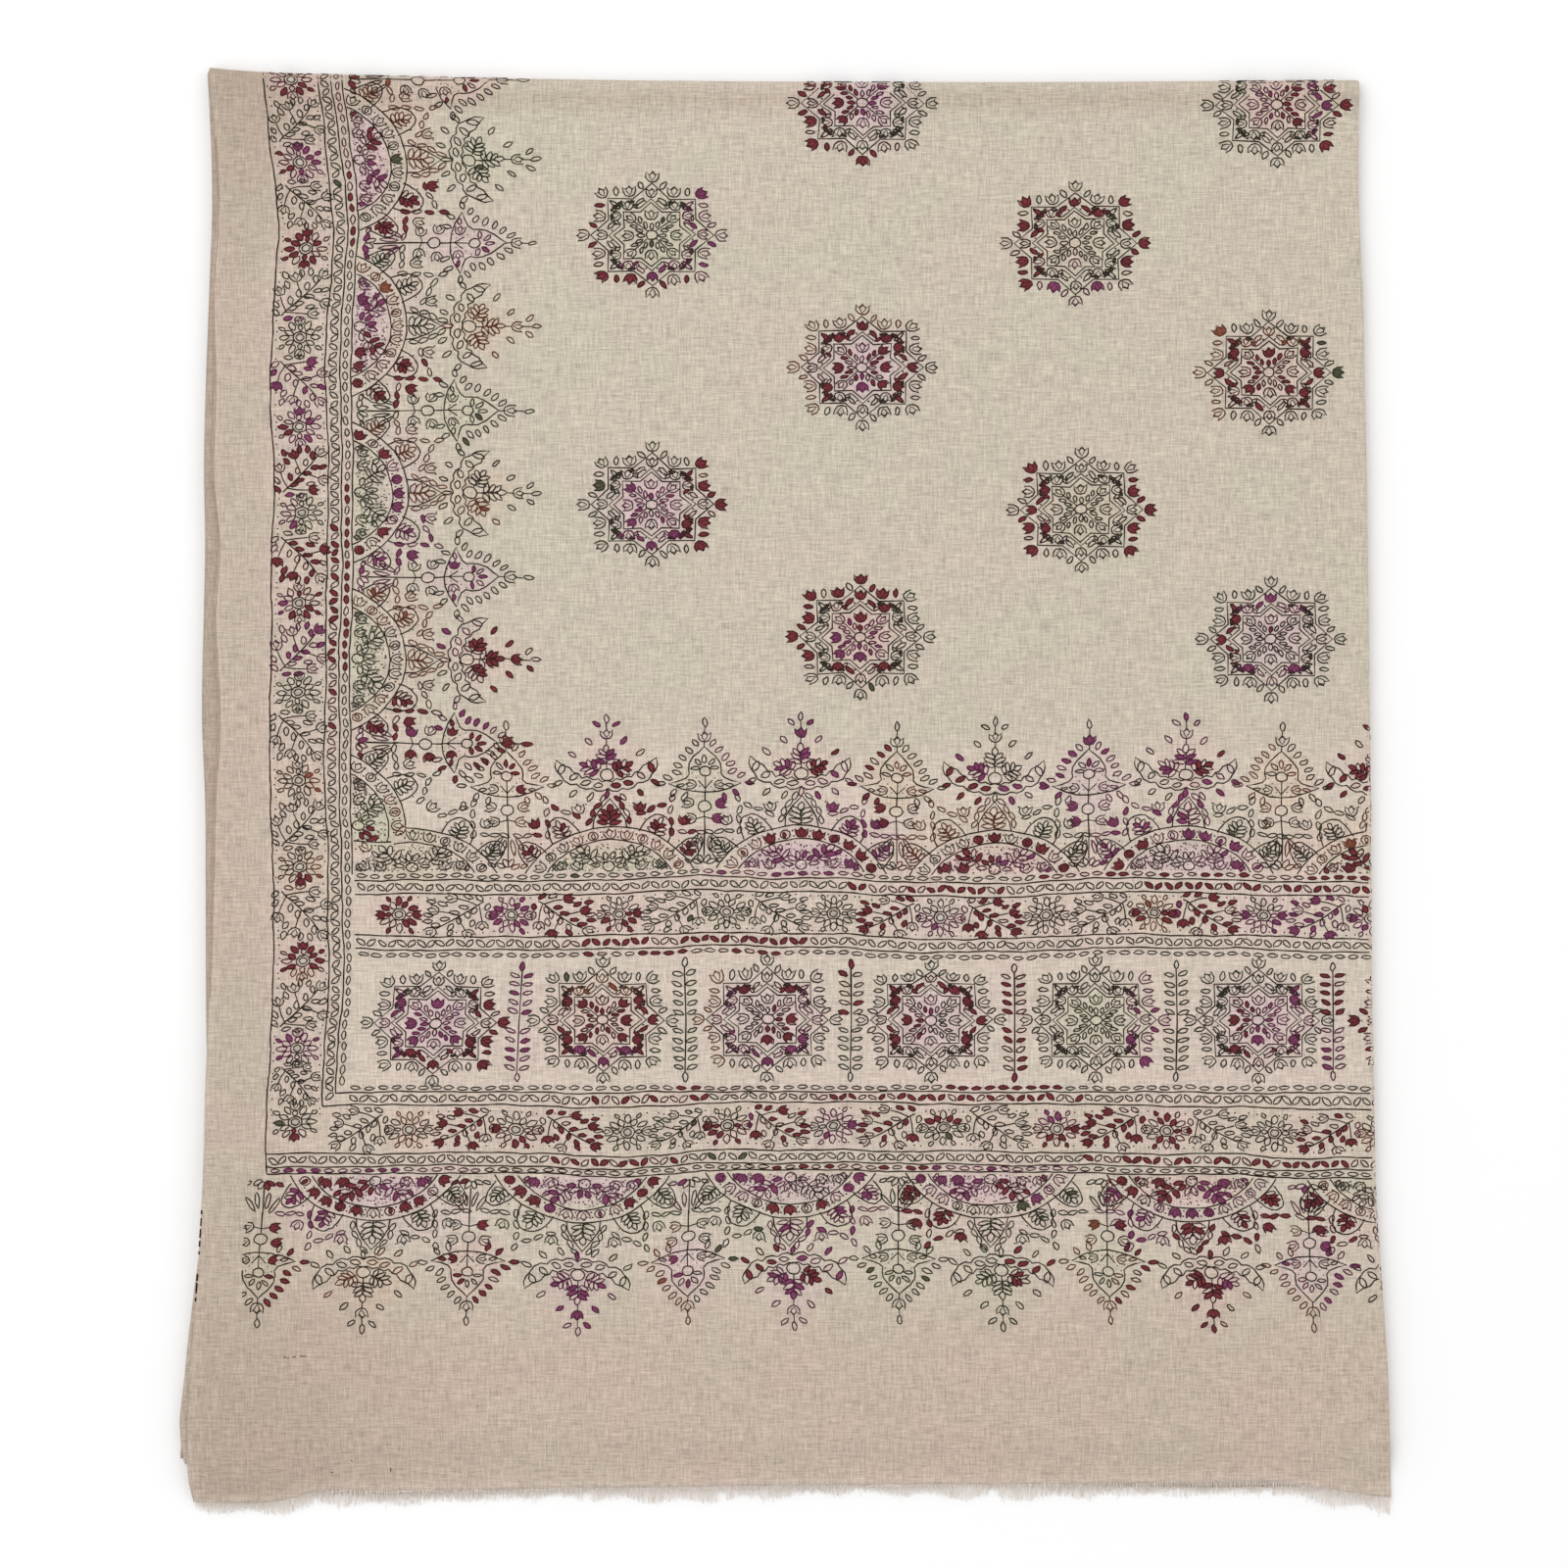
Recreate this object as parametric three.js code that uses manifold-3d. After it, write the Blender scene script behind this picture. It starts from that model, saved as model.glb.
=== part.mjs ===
// A pashmina shawl, folded and laid flat. The cloth is folded in half along its length, so that two
// layers lie on each other, and the doubled strip is then folded over twice across its length, with
// its last stretch inside. One panel shows on top, with its frayed hem at the bottom, its selvedges
// on the left, the lengthwise fold on the right and the crosswise fold at the top.
// Millimetres, +Z up, standing on Z = 0. X runs from the selvedges to the lengthwise fold, and Y from
// the frayed hem to the crosswise fold. The origin is at the middle of the underside.
import * as THREE from "three";
import Module from "manifold-3d";

const wasm = await Module();
wasm.setup();

// Cut of the whole cloth, and how it is folded
const cutWidth = 1020;
const foldedWidth = cutWidth / 2;
const panelLength = 615; // top fold to the woven hem
const topEdgeY = 311; // the crosswise fold, from the middle of the underside
const clothWall = 1.0;
const layerGap = 0.3;
const layerPitch = clothWall + layerGap;
const layersInStack = 6; // front pair, hidden pair, back pair
const stackHeight = layersInStack * layerPitch - layerGap;
const topFoldRadius = stackHeight / 2;
const sideFoldRadius = (2 * clothWall + layerGap) / 2;
const sideFoldReturn = 6; // how far the front layer comes back under itself at the lengthwise fold
const backFoldRadius = (4 * layerPitch - layerGap) / 2;
const backFoldReturn = 10;

// Outline of the layers, down from the crosswise fold. The selvedge columns are how far each edge lies
// inside the nominal selvedge line, and fold is how far the lengthwise fold lies outside its own line.
const sides = [
  { down: 0, front: 2.4, under: 1.9, back: 4.1, fold: -4.5 },
  { down: 27, front: 5.3, under: 3.4, back: 4.9, fold: -4.9 },
  { down: 56, front: 6.6, under: 4.2, back: 5.8, fold: -4.8 },
  { down: 94, front: 4.5, under: 3.0, back: 5.4, fold: -3.0 },
  { down: 133, front: 5.3, under: 1.5, back: 3.6, fold: -2.2 },
  { down: 175, front: 4.5, under: 0.6, back: 2.8, fold: -1.3 },
  { down: 205, front: 7.1, under: 1.1, back: 2.8, fold: -0.9 },
  { down: 231, front: 5.3, under: 0.6, back: 2.8, fold: -0.5 },
  { down: 283, front: 7.1, under: -0.2, back: 2.4, fold: 0.0 },
  { down: 315, front: 5.3, under: 1.1, back: 2.8, fold: 0.4 },
  { down: 347, front: 4.5, under: 1.3, back: 2.8, fold: 0.6 },
  { down: 402, front: 2.8, under: 1.5, back: 2.8, fold: 1.0 },
  { down: 437, front: 1.3, under: 1.9, back: 2.8, fold: 1.7 },
  { down: 475, front: 0.2, under: 1.5, back: 1.9, fold: 2.3 },
  { down: 501, front: -1.1, under: 0.2, back: -0.2, fold: 3.4 },
  { down: 531, front: -3.2, under: -1.9, back: -4.1, fold: 5.7 },
  { down: 565, front: -5.8, under: -4.1, back: -7.9, fold: 7.9 },
  { down: 596, front: -6.6, under: -4.5, back: -9.8, fold: 8.9 },
  { down: 604, front: -6.3, under: -3.6, back: -8.2, fold: 9.2 },
  { down: 625, front: -1.9, under: 0.6, back: -7.0, fold: 10.0 },
];

// The crosswise fold and the hems, across from the selvedge: how far the fold rises above its nominal
// line, how far each woven hem drops below its own, and how far the back's fold stops short of the hem
const acrossLines = [
  { across: 0, rise: 5.8, frontHem: 7.3, underHem: 6.0, backFold: -9.5 },
  { across: 12, rise: 4.6, frontHem: 7.6, underHem: 6.6, backFold: -10.5 },
  { across: 24, rise: 3.7, frontHem: 7.6, underHem: 5.8, backFold: -13.0 },
  { across: 38, rise: 2.9, frontHem: 5.6, underHem: 3.8, backFold: -16.0 },
  { across: 50, rise: 2.7, frontHem: 2.4, underHem: 3.2, backFold: -18.0 },
  { across: 77, rise: 2.0, frontHem: 2.1, underHem: 3.8, backFold: -21.0 },
  { across: 118, rise: 1.1, frontHem: 1.6, underHem: 2.6, backFold: -23.0 },
  { across: 174, rise: 0.1, frontHem: 0.9, underHem: 0.4, backFold: -24.0 },
  { across: 294, rise: -0.8, frontHem: -0.5, underHem: -1.4, backFold: -24.0 },
  { across: 380, rise: -0.8, frontHem: -0.9, underHem: -0.2, backFold: -24.0 },
  { across: 440, rise: -0.4, frontHem: -1.3, underHem: 0.9, backFold: -23.0 },
  { across: 474, rise: -0.2, frontHem: -1.5, underHem: 0.6, backFold: -22.0 },
  { across: 490, rise: -0.1, frontHem: 1.1, underHem: 0.8, backFold: -21.0 },
  { across: 516, rise: 0.0, frontHem: 5.0, underHem: 2.4, backFold: -20.0 },
];

// Soft waves in the stack, as shares of its height: where each lies, its reach and how high it lifts
const swells = [
  { x: -170, y: 120, reachX: 70, reachY: 190, lift: 0.06 },
  { x: 20, y: 40, reachX: 80, reachY: 120, lift: 0.04 },
  { x: 150, y: 190, reachX: 90, reachY: 80, lift: 0.05 },
  { x: 110, y: -130, reachX: 120, reachY: 80, lift: 0.05 },
  { x: -110, y: -120, reachX: 70, reachY: 80, lift: 0.05 },
];

// Columns of the cloth, as shares of the way across, closer together towards both edges
const columns = [
  0, 0.025, 0.05, 0.08, 0.12, 0.18, 0.26, 0.35, 0.44, 0.53, 0.62, 0.71, 0.8, 0.87, 0.93, 0.97, 1,
];
const frontRows = 14;
const overhangRows = 5;
const backRows = 8;
const turnSteps = 6;

// Fringe: the frayed warp ends past each woven hem, as locks on a narrow strip
const fringeStrip = { width: 1.6, wall: 0.6, gap: 0.3 };
const frontFringe = { locks: 84, length: 4.6, hem: "frontHem", side: "front", floor: layerPitch + 0.2 };
const underFringe = { locks: 62, length: 3.6, hem: "underHem", side: "under", floor: 0.25 };
const lockRootWidth = 2.4;
const lockTipWidth = 0.5;

// A smooth curve through one column of a table
function curveOf(table, key, column) {
  const keys = table.map((row) => row[key]);
  const values = table.map((row) => row[column]);
  const curve = new THREE.CubicInterpolant(keys, values, 1);
  return (at) => curve.evaluate(at)[0];
}

const selvedge = {};
for (const side of ["front", "under", "back"]) {
  const inset = curveOf(sides, "down", side);
  selvedge[side] = (down) => -foldedWidth / 2 + inset(down);
}
const foldInset = curveOf(sides, "down", "fold");
const foldEdge = (down) => foldedWidth / 2 + foldInset(down);

const lineOf = {};
for (const column of ["rise", "frontHem", "underHem", "backFold"])
  lineOf[column] = curveOf(acrossLines, "across", column);
const acrossOf = (x) => x + foldedWidth / 2;
const topY = (x) => topEdgeY + lineOf.rise(acrossOf(x));
const hemY = (x, hem) => topEdgeY - panelLength - lineOf[hem](acrossOf(x));
const backFoldY = (x) => topEdgeY - panelLength - lineOf.backFold(acrossOf(x));

const smooth = (t) => {
  const c = THREE.MathUtils.clamp(t, 0, 1);
  return c * c * (3 - 2 * c);
};

// The share by which the stack is lifted at a place
function liftAt(x, y) {
  let lift = 0;
  for (const s of swells)
    lift += s.lift * Math.exp(-(((x - s.x) / s.reachX) ** 2) - ((y - s.y) / s.reachY) ** 2);
  return lift;
}

// Past the back's fold the front pair has nothing under it and comes down to the surface
const dropReach = 18;
const pairHeight = 4 * layerPitch;
function settled(x, y, z, overhangs) {
  const drop = overhangs ? pairHeight * smooth((backFoldY(x) - y) / dropReach) : 0;
  return new THREE.Vector3(x, y, (z - drop) * (1 + liftAt(x, y)));
}

// Stations along the cloth. Each gives the point of the stack's outer face at x, as { y, z }, its
// outward normal in the YZ plane, the distance down for the outline, and whether it can overhang.
function frontStations(hem) {
  const stations = [];
  const addRow = (yOf) =>
    stations.push({
      point: (x) => ({ y: yOf(x), z: stackHeight }),
      normal: { y: 0, z: 1 },
      overhangs: true,
      turn: 0,
    });
  addRow((x) => hemY(x, hem));
  for (let i = 1; i < overhangRows; i++)
    addRow((x) => THREE.MathUtils.lerp(hemY(x, "frontHem"), backFoldY(x), i / overhangRows));
  for (let i = 0; i <= frontRows; i++)
    addRow((x) => THREE.MathUtils.lerp(backFoldY(x), topY(x) - topFoldRadius, i / frontRows));
  return stations;
}

function topTurnStations() {
  const stations = [];
  for (let i = 1; i <= turnSteps; i++) {
    const angle = (Math.PI * i) / turnSteps;
    const normal = { y: Math.sin(angle), z: Math.cos(angle) };
    stations.push({
      point: (x) => ({
        y: topY(x) - topFoldRadius + topFoldRadius * normal.y,
        z: topFoldRadius + topFoldRadius * normal.z,
      }),
      normal,
      overhangs: false,
      turn: i / turnSteps,
    });
  }
  return stations;
}

function backStations(startGap) {
  const stations = [];
  for (let i = 0; i <= backRows; i++) {
    const share = i / backRows;
    stations.push({
      point: (x) => ({
        y: THREE.MathUtils.lerp(topY(x) - topFoldRadius - startGap, backFoldY(x) + backFoldRadius, share),
        z: 0,
      }),
      normal: { y: 0, z: -1 },
      overhangs: false,
      turn: 1,
    });
  }
  return stations;
}

function backTurnStations() {
  const stations = [];
  for (let i = 1; i <= turnSteps; i++) {
    const angle = (Math.PI * i) / turnSteps;
    const normal = { y: -Math.sin(angle), z: -Math.cos(angle) };
    stations.push({
      point: (x) => ({
        y: backFoldY(x) + backFoldRadius + backFoldRadius * normal.y,
        z: backFoldRadius + backFoldRadius * normal.z,
      }),
      normal,
      overhangs: false,
      turn: 1,
    });
  }
  stations.push({
    point: (x) => ({ y: backFoldY(x) + backFoldRadius + backFoldReturn, z: 2 * backFoldRadius }),
    normal: { y: 0, z: 1 },
    overhangs: false,
    turn: 1,
  });
  return stations;
}

// The outline at a station: its selvedge changes from the front's to the back's round the top fold
function outlineAt(station, side) {
  const down = THREE.MathUtils.clamp(topEdgeY - station.point(0).y, 0, sides[sides.length - 1].down);
  const leftOf = (layer) => THREE.MathUtils.lerp(selvedge[layer](down), selvedge.back(down), station.turn);
  return { left: leftOf(side), outerLeft: leftOf("front"), right: foldEdge(down) };
}

// Where a section point lies: its depth is measured inwards from the stack's outer face
function placed(station, x, depth) {
  const face = station.point(x);
  const y = face.y - station.normal.y * depth;
  const z = face.z - station.normal.z * depth;
  return settled(x, y, z, station.overhangs);
}

// Section of the outer layer: straight across, then round the lengthwise fold and back under itself
function foldedSection({ left, right }) {
  const foldX = right - sideFoldRadius;
  const outer = [];
  const inner = [];
  for (const share of columns) {
    const x = THREE.MathUtils.lerp(left, foldX, share);
    outer.push({ x, depth: 0 });
    inner.push({ x, depth: clothWall });
  }
  const innerRadius = sideFoldRadius - clothWall;
  for (let i = 1; i <= turnSteps; i++) {
    const angle = (Math.PI * i) / turnSteps;
    const out = Math.sin(angle);
    const down = 1 - Math.cos(angle);
    outer.push({ x: foldX + sideFoldRadius * out, depth: sideFoldRadius * down });
    inner.push({ x: foldX + innerRadius * out, depth: clothWall + innerRadius * down });
  }
  outer.push({ x: foldX - sideFoldReturn, depth: 2 * sideFoldRadius });
  inner.push({ x: foldX - sideFoldReturn, depth: 2 * sideFoldRadius - clothWall });
  return { outer, inner };
}

// Section of the layer inside it: straight across at the outer layer's own columns, so that both bend
// alike, from its own selvedge up to the outer layer's return
function straightSection({ left, outerLeft, right }) {
  const foldX = right - sideFoldRadius;
  const outer = [];
  const inner = [];
  for (const share of columns) {
    let x = THREE.MathUtils.lerp(outerLeft, foldX, share);
    if (share === 0) x = left;
    if (share === 1) x = foldX - sideFoldReturn - layerGap;
    outer.push({ x, depth: layerPitch });
    inner.push({ x, depth: layerPitch + clothWall });
  }
  return { outer, inner };
}

function indexedGeometry(points, index) {
  const positions = new Float32Array(points.length * 3);
  points.forEach((p, i) => p.toArray(positions, i * 3));
  const geometry = new THREE.BufferGeometry();
  geometry.setAttribute("position", new THREE.BufferAttribute(positions, 3));
  geometry.setIndex(index);
  geometry.computeVertexNormals();
  return geometry;
}

// A closed wall: rings of outer and inner points, one ring a station, with both ends capped
function wallGeometry(stations, side, sectionOf) {
  const rings = stations.map((station) => {
    const { outer, inner } = sectionOf(outlineAt(station, side));
    return [...outer, ...inner.reverse()].map((p) => placed(station, p.x, p.depth));
  });
  const count = rings[0].length;
  const index = [];
  for (let i = 0; i + 1 < rings.length; i++)
    for (let j = 0; j < count; j++) {
      const a = i * count + j;
      const b = i * count + ((j + 1) % count);
      index.push(a, b, b + count, a, b + count, a + count);
    }
  const last = (rings.length - 1) * count;
  for (let j = 0; j + 1 < count / 2; j++) {
    const a = j;
    const b = j + 1;
    const c = count - 2 - j;
    const d = count - 1 - j;
    index.push(a, c, b, a, d, c);
    index.push(last + a, last + b, last + c, last + a, last + c, last + d);
  }
  return indexedGeometry(rings.flat(), index);
}

// The hidden layers between the front pair and the back pair, as one solid whose side edges are
// rounded into two layers and whose upper end is rounded inside the crosswise fold
const hiddenBottom = 2 * layerPitch;
const hiddenRadius = (2 * layerPitch - layerGap) / 2;
const hiddenInset = { selvedge: 3.0, upperLayer: 2.4, fold: 3.0, fromBackFold: backFoldReturn + 3 };
function hiddenSection(left, right) {
  const layerRadius = hiddenRadius / 2;
  const contour = [];
  const noseSteps = 4;
  const addNose = (x, level, sign) => {
    for (let i = 0; i <= noseSteps; i++) {
      const angle = Math.PI * (i / noseSteps - 0.5);
      contour.push({
        x: x + sign * layerRadius * Math.cos(angle),
        height: layerRadius * (level + sign * Math.sin(angle)) * (i % noseSteps ? 1 : 0.99),
      });
    }
  };
  const foldX = right - sideFoldRadius;
  const middle = columns.slice(1, -1).map((share) => THREE.MathUtils.lerp(left, foldX, share));
  addNose(right - hiddenInset.fold, -1, 1);
  addNose(right - hiddenInset.fold - 1, 1, 1);
  for (const x of middle.toReversed()) contour.push({ x, height: hiddenRadius });
  addNose(left + hiddenInset.selvedge + hiddenInset.upperLayer, 1, -1);
  addNose(left + hiddenInset.selvedge, -1, -1);
  for (const x of middle) contour.push({ x, height: -hiddenRadius });
  return contour;
}

// Faces that close an end of the hidden layers: both noses, and a strip between the columns
function hiddenCap() {
  const contour = hiddenSection(selvedge.back(0), foldEdge(0)).map((p) => new THREE.Vector2(p.x, p.height));
  const middle = columns.length - 2;
  const noses = (contour.length - 2 * middle) / 2;
  const range = (from, count) => Array.from({ length: count }, (_, i) => (from + i) % contour.length);
  const faces = [];
  for (const part of [range(contour.length - 1, noses + 2), range(noses + middle - 1, noses + 2)])
    for (const face of THREE.ShapeUtils.triangulateShape(part.map((i) => contour[i]), []))
      faces.push(face.map((i) => part[i]));
  for (let i = 0; i + 1 < middle; i++) {
    const above = noses + i;
    const below = contour.length - 1 - i;
    faces.push([below, above, above + 1], [below, above + 1, below - 1]);
  }
  return faces;
}

function hiddenGeometry() {
  const rings = [];
  const addRing = (yOf, heightShare) => {
    const down = topEdgeY - yOf(0);
    const contour = hiddenSection(selvedge.back(down), foldEdge(down));
    const heightOf = (p) => hiddenBottom + hiddenRadius + p.height * heightShare;
    rings.push(contour.map((p) => settled(p.x, yOf(p.x), heightOf(p), false)));
  };
  for (let i = 0; i <= backRows; i++) {
    const share = i / backRows;
    const lower = (x) => backFoldY(x) + backFoldRadius + hiddenInset.fromBackFold;
    addRing((x) => THREE.MathUtils.lerp(lower(x), topY(x) - topFoldRadius, share), 1);
  }
  for (const angle of [25, 50, 72].map(THREE.MathUtils.degToRad))
    addRing((x) => topY(x) - topFoldRadius + hiddenRadius * Math.sin(angle), Math.cos(angle));
  const count = rings[0].length;
  const index = [];
  for (let i = 0; i + 1 < rings.length; i++)
    for (let j = 0; j < count; j++) {
      const a = i * count + j;
      const b = i * count + ((j + 1) % count);
      index.push(a, b + count, b, a, a + count, b + count);
    }
  const last = (rings.length - 1) * count;
  for (const [a, b, c] of hiddenCap()) {
    index.push(a, b, c);
    index.push(last + a, last + c, last + b);
  }
  return indexedGeometry(rings.flat(), index);
}

// A repeatable value from 0 to 1 for the nth lock
const scatter = (n, salt) => {
  const s = Math.sin(n * 12.9898 + salt * 78.233) * 43758.5453;
  return s - Math.floor(s);
};

function solidFrom(points, faces) {
  const vertProperties = new Float32Array(points.flatMap((p) => p.toArray()));
  const triVerts = new Uint32Array(faces.flat());
  return new wasm.Manifold(new wasm.Mesh({ numProp: 3, vertProperties, triVerts }));
}

// A closed tapered bar of four-cornered sections
function barSolid(sections) {
  const faces = [];
  for (let i = 0; i + 1 < sections.length; i++)
    for (let j = 0; j < 4; j++) {
      const a = i * 4 + j;
      const b = i * 4 + ((j + 1) % 4);
      faces.push([a, b, b + 4], [a, b + 4, a + 4]);
    }
  const last = (sections.length - 1) * 4;
  faces.push([0, 2, 1], [0, 3, 2], [last, last + 1, last + 2], [last, last + 2, last + 3]);
  return solidFrom(sections.flat(), faces);
}

// The woven hem of a layer, as the straight runs between its columns
function hemLine(hem, side) {
  const left = selvedge[side](panelLength);
  const foldX = foldEdge(panelLength) - sideFoldRadius;
  const points = columns.map((share) => {
    const x = THREE.MathUtils.lerp(selvedge.front(panelLength), foldX, share);
    return share === 0 ? left : x;
  });
  if (side === "under") points[points.length - 1] = foldX - sideFoldReturn - layerGap;
  const heights = points.map((x) => hemY(x, hem));
  const line = new THREE.LinearInterpolant(points, heights, 1);
  return { points, yAt: (x) => line.evaluate(x)[0] };
}

// The strip that the locks of one hem grow from, and the locks, fused into one solid
function fringeGeometry({ locks, length, hem, side, floor }) {
  const { points: hemPoints, yAt } = hemLine(hem, side);
  const left = hemPoints[0] + 1;
  const right = hemPoints[hemPoints.length - 1] - 1;
  const rootY = (x) => yAt(x) - fringeStrip.gap;
  const stripSections = [left, ...hemPoints.slice(1, -1), right].map((x) => {
    const y = rootY(x);
    return [
      new THREE.Vector3(x, y, floor),
      new THREE.Vector3(x, y, floor + fringeStrip.wall),
      new THREE.Vector3(x, y - fringeStrip.width, floor + fringeStrip.wall),
      new THREE.Vector3(x, y - fringeStrip.width, floor),
    ];
  });
  let fringe = barSolid(stripSections);
  const salt = locks;
  for (let n = 0; n < locks; n++) {
    const rootX = THREE.MathUtils.lerp(left + lockRootWidth, right - lockRootWidth, n / (locks - 1));
    const reach = length * (0.6 + 0.55 * scatter(n, salt));
    const lean = (scatter(n, salt + 1) - 0.5) * 1.3;
    const rootTop = rootY(rootX) - fringeStrip.width * 0.6;
    const lockSection = (share, width, wall) => {
      const x = rootX + lean * share * share;
      const y = rootTop - reach * share;
      return [
        new THREE.Vector3(x - width / 2, y, floor + 0.1),
        new THREE.Vector3(x - width / 2, y, floor + 0.1 + wall),
        new THREE.Vector3(x + width / 2, y, floor + 0.1 + wall),
        new THREE.Vector3(x + width / 2, y, floor + 0.1),
      ];
    };
    const lock = barSolid([
      lockSection(1, lockTipWidth, 0.2),
      lockSection(0, lockRootWidth, 0.4),
    ]);
    fringe = fringe.add(lock);
  }
  const mesh = fringe.getMesh();
  const points = [];
  for (let i = 0; i < mesh.numVert; i++)
    points.push(new THREE.Vector3().fromArray(mesh.vertProperties, i * mesh.numProp));
  return indexedGeometry(points, Array.from(mesh.triVerts));
}

const clothMaterial = (name, color) =>
  new THREE.MeshStandardMaterial({ name, color, roughness: 0.9, metalness: 0 });
const cloth = clothMaterial("woven cloth", 0xcbbdac);
const clothUnderside = clothMaterial("woven cloth, underside", 0xc4b5a3);
const frayed = clothMaterial("frayed ends", 0xd8cdbf);

const shawl = new THREE.Group();
shawl.name = "folded shawl";
function add(name, geometry, material) {
  const mesh = new THREE.Mesh(geometry, material);
  mesh.name = name;
  shawl.add(mesh);
}

add(
  "front_panel",
  wallGeometry([...frontStations("frontHem"), ...topTurnStations()], "front", foldedSection),
  cloth,
);
add(
  "back_panel",
  wallGeometry([...backStations(layerGap), ...backTurnStations()], "back", foldedSection),
  clothUnderside,
);
const underStations = [...frontStations("underHem"), ...topTurnStations(), ...backStations(layerGap)];
add("under_layer", wallGeometry(underStations, "under", straightSection), clothUnderside);
add("hidden_layers", hiddenGeometry(), clothUnderside);
add("front_fringe", fringeGeometry(frontFringe), frayed);
add("under_fringe", fringeGeometry(underFringe), frayed);

// The origin is at the middle of the box's underside
const box = new THREE.Box3().setFromObject(shawl);
shawl.position.set(-(box.min.x + box.max.x) / 2, -(box.min.y + box.max.y) / 2, -box.min.z);

export default shawl;
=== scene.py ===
import bpy
import math
import numpy as np
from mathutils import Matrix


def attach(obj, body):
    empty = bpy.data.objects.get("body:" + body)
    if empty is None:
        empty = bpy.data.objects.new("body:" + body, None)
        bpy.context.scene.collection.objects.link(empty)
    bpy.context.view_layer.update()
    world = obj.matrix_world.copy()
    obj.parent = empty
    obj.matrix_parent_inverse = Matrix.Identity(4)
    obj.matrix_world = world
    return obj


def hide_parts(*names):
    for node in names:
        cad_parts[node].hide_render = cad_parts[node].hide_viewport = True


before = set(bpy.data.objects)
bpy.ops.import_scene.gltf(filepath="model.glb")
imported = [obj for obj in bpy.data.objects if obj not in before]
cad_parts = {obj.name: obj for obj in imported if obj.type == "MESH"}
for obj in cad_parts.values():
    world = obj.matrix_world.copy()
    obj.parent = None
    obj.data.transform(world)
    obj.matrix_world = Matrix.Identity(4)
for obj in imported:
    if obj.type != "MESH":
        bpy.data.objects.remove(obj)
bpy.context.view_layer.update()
bpy.ops.object.select_all(action="DESELECT")
print("folded shawl: frame loaded")

mm = 0.001
rng = np.random.default_rng(11)


# shape of the folded cloth
# Millimetres here, from the selvedges (-x) to the lengthwise fold (+x) and from the hem (-y) to the
# crosswise fold (+y). The same folds, edges and swells as the solids. Pitch is from one layer's face to
# the next, and drop is how the front comes down to the surface past the back's own fold.
fold = {
    "across": 510, "top": 311, "length": 615,
    "pitch": 1.3, "stack": 7.5,
    "topRadius": 3.75, "sideRadius": 1.15, "sideReturn": 6,
    "backRadius": 2.45, "dropReach": 18, "dropHeight": 5.2,
    "cloth": 0.6, "seam": 0.3,
    "shift": (0.178, 0.384),
}

# down from the crosswise fold: how far in each selvedge lies, and how far out the lengthwise fold
edgeLines = np.array([
    # down, front, under, back, fold
    (0, 2.4, 1.9, 4.1, -4.5),
    (27, 5.3, 3.4, 4.9, -4.9),
    (56, 6.6, 4.2, 5.8, -4.8),
    (94, 4.5, 3.0, 5.4, -3.0),
    (133, 5.3, 1.5, 3.6, -2.2),
    (175, 4.5, 0.6, 2.8, -1.3),
    (205, 7.1, 1.1, 2.8, -0.9),
    (231, 5.3, 0.6, 2.8, -0.5),
    (283, 7.1, -0.2, 2.4, 0.0),
    (315, 5.3, 1.1, 2.8, 0.4),
    (347, 4.5, 1.3, 2.8, 0.6),
    (402, 2.8, 1.5, 2.8, 1.0),
    (437, 1.3, 1.9, 2.8, 1.7),
    (475, 0.2, 1.5, 1.9, 2.3),
    (501, -1.1, 0.2, -0.2, 3.4),
    (531, -3.2, -1.9, -4.1, 5.7),
    (565, -5.8, -4.1, -7.9, 7.9),
    (596, -6.6, -4.5, -9.8, 8.9),
    (604, -6.3, -3.6, -8.2, 9.2),
    (625, -1.9, 0.6, -7.0, 10.0),
])

# across from the selvedge: rise of the crosswise fold, drop of each hem, stop of the back's fold
acrossLines = np.array([
    # across, rise, front hem, under hem, back fold
    (0, 5.8, 7.3, 6.0, -9.5),
    (12, 4.6, 7.6, 6.6, -10.5),
    (24, 3.7, 7.6, 5.8, -13.0),
    (38, 2.9, 5.6, 3.8, -16.0),
    (50, 2.7, 2.4, 3.2, -18.0),
    (77, 2.0, 2.1, 3.8, -21.0),
    (118, 1.1, 1.6, 2.6, -23.0),
    (174, 0.1, 0.9, 0.4, -24.0),
    (294, -0.8, -0.5, -1.4, -24.0),
    (380, -0.8, -0.9, -0.2, -24.0),
    (440, -0.4, -1.3, 0.9, -23.0),
    (474, -0.2, -1.5, 0.6, -22.0),
    (490, -0.1, 1.1, 0.8, -21.0),
    (516, 0.0, 5.0, 2.4, -20.0),
])

# soft waves of the stack, as shares of its height: x, y, reach across, reach along, lift
swells = [
    (-170, 120, 70, 190, 0.06), (20, 40, 80, 120, 0.04), (150, 190, 90, 80, 0.05),
    (110, -130, 120, 80, 0.05), (-110, -120, 70, 80, 0.05),
]
# slack of the cloth between the stitching: wavelength across and along, share of the height, start
slack = [
    (83, 121, 0.010, 0.3), (-57, 96, 0.008, 1.9), (41, -64, 0.006, 4.1), (29, 47, 0.004, 2.6),
    (-35, -23, 0.003, 5.2),
]


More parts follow.
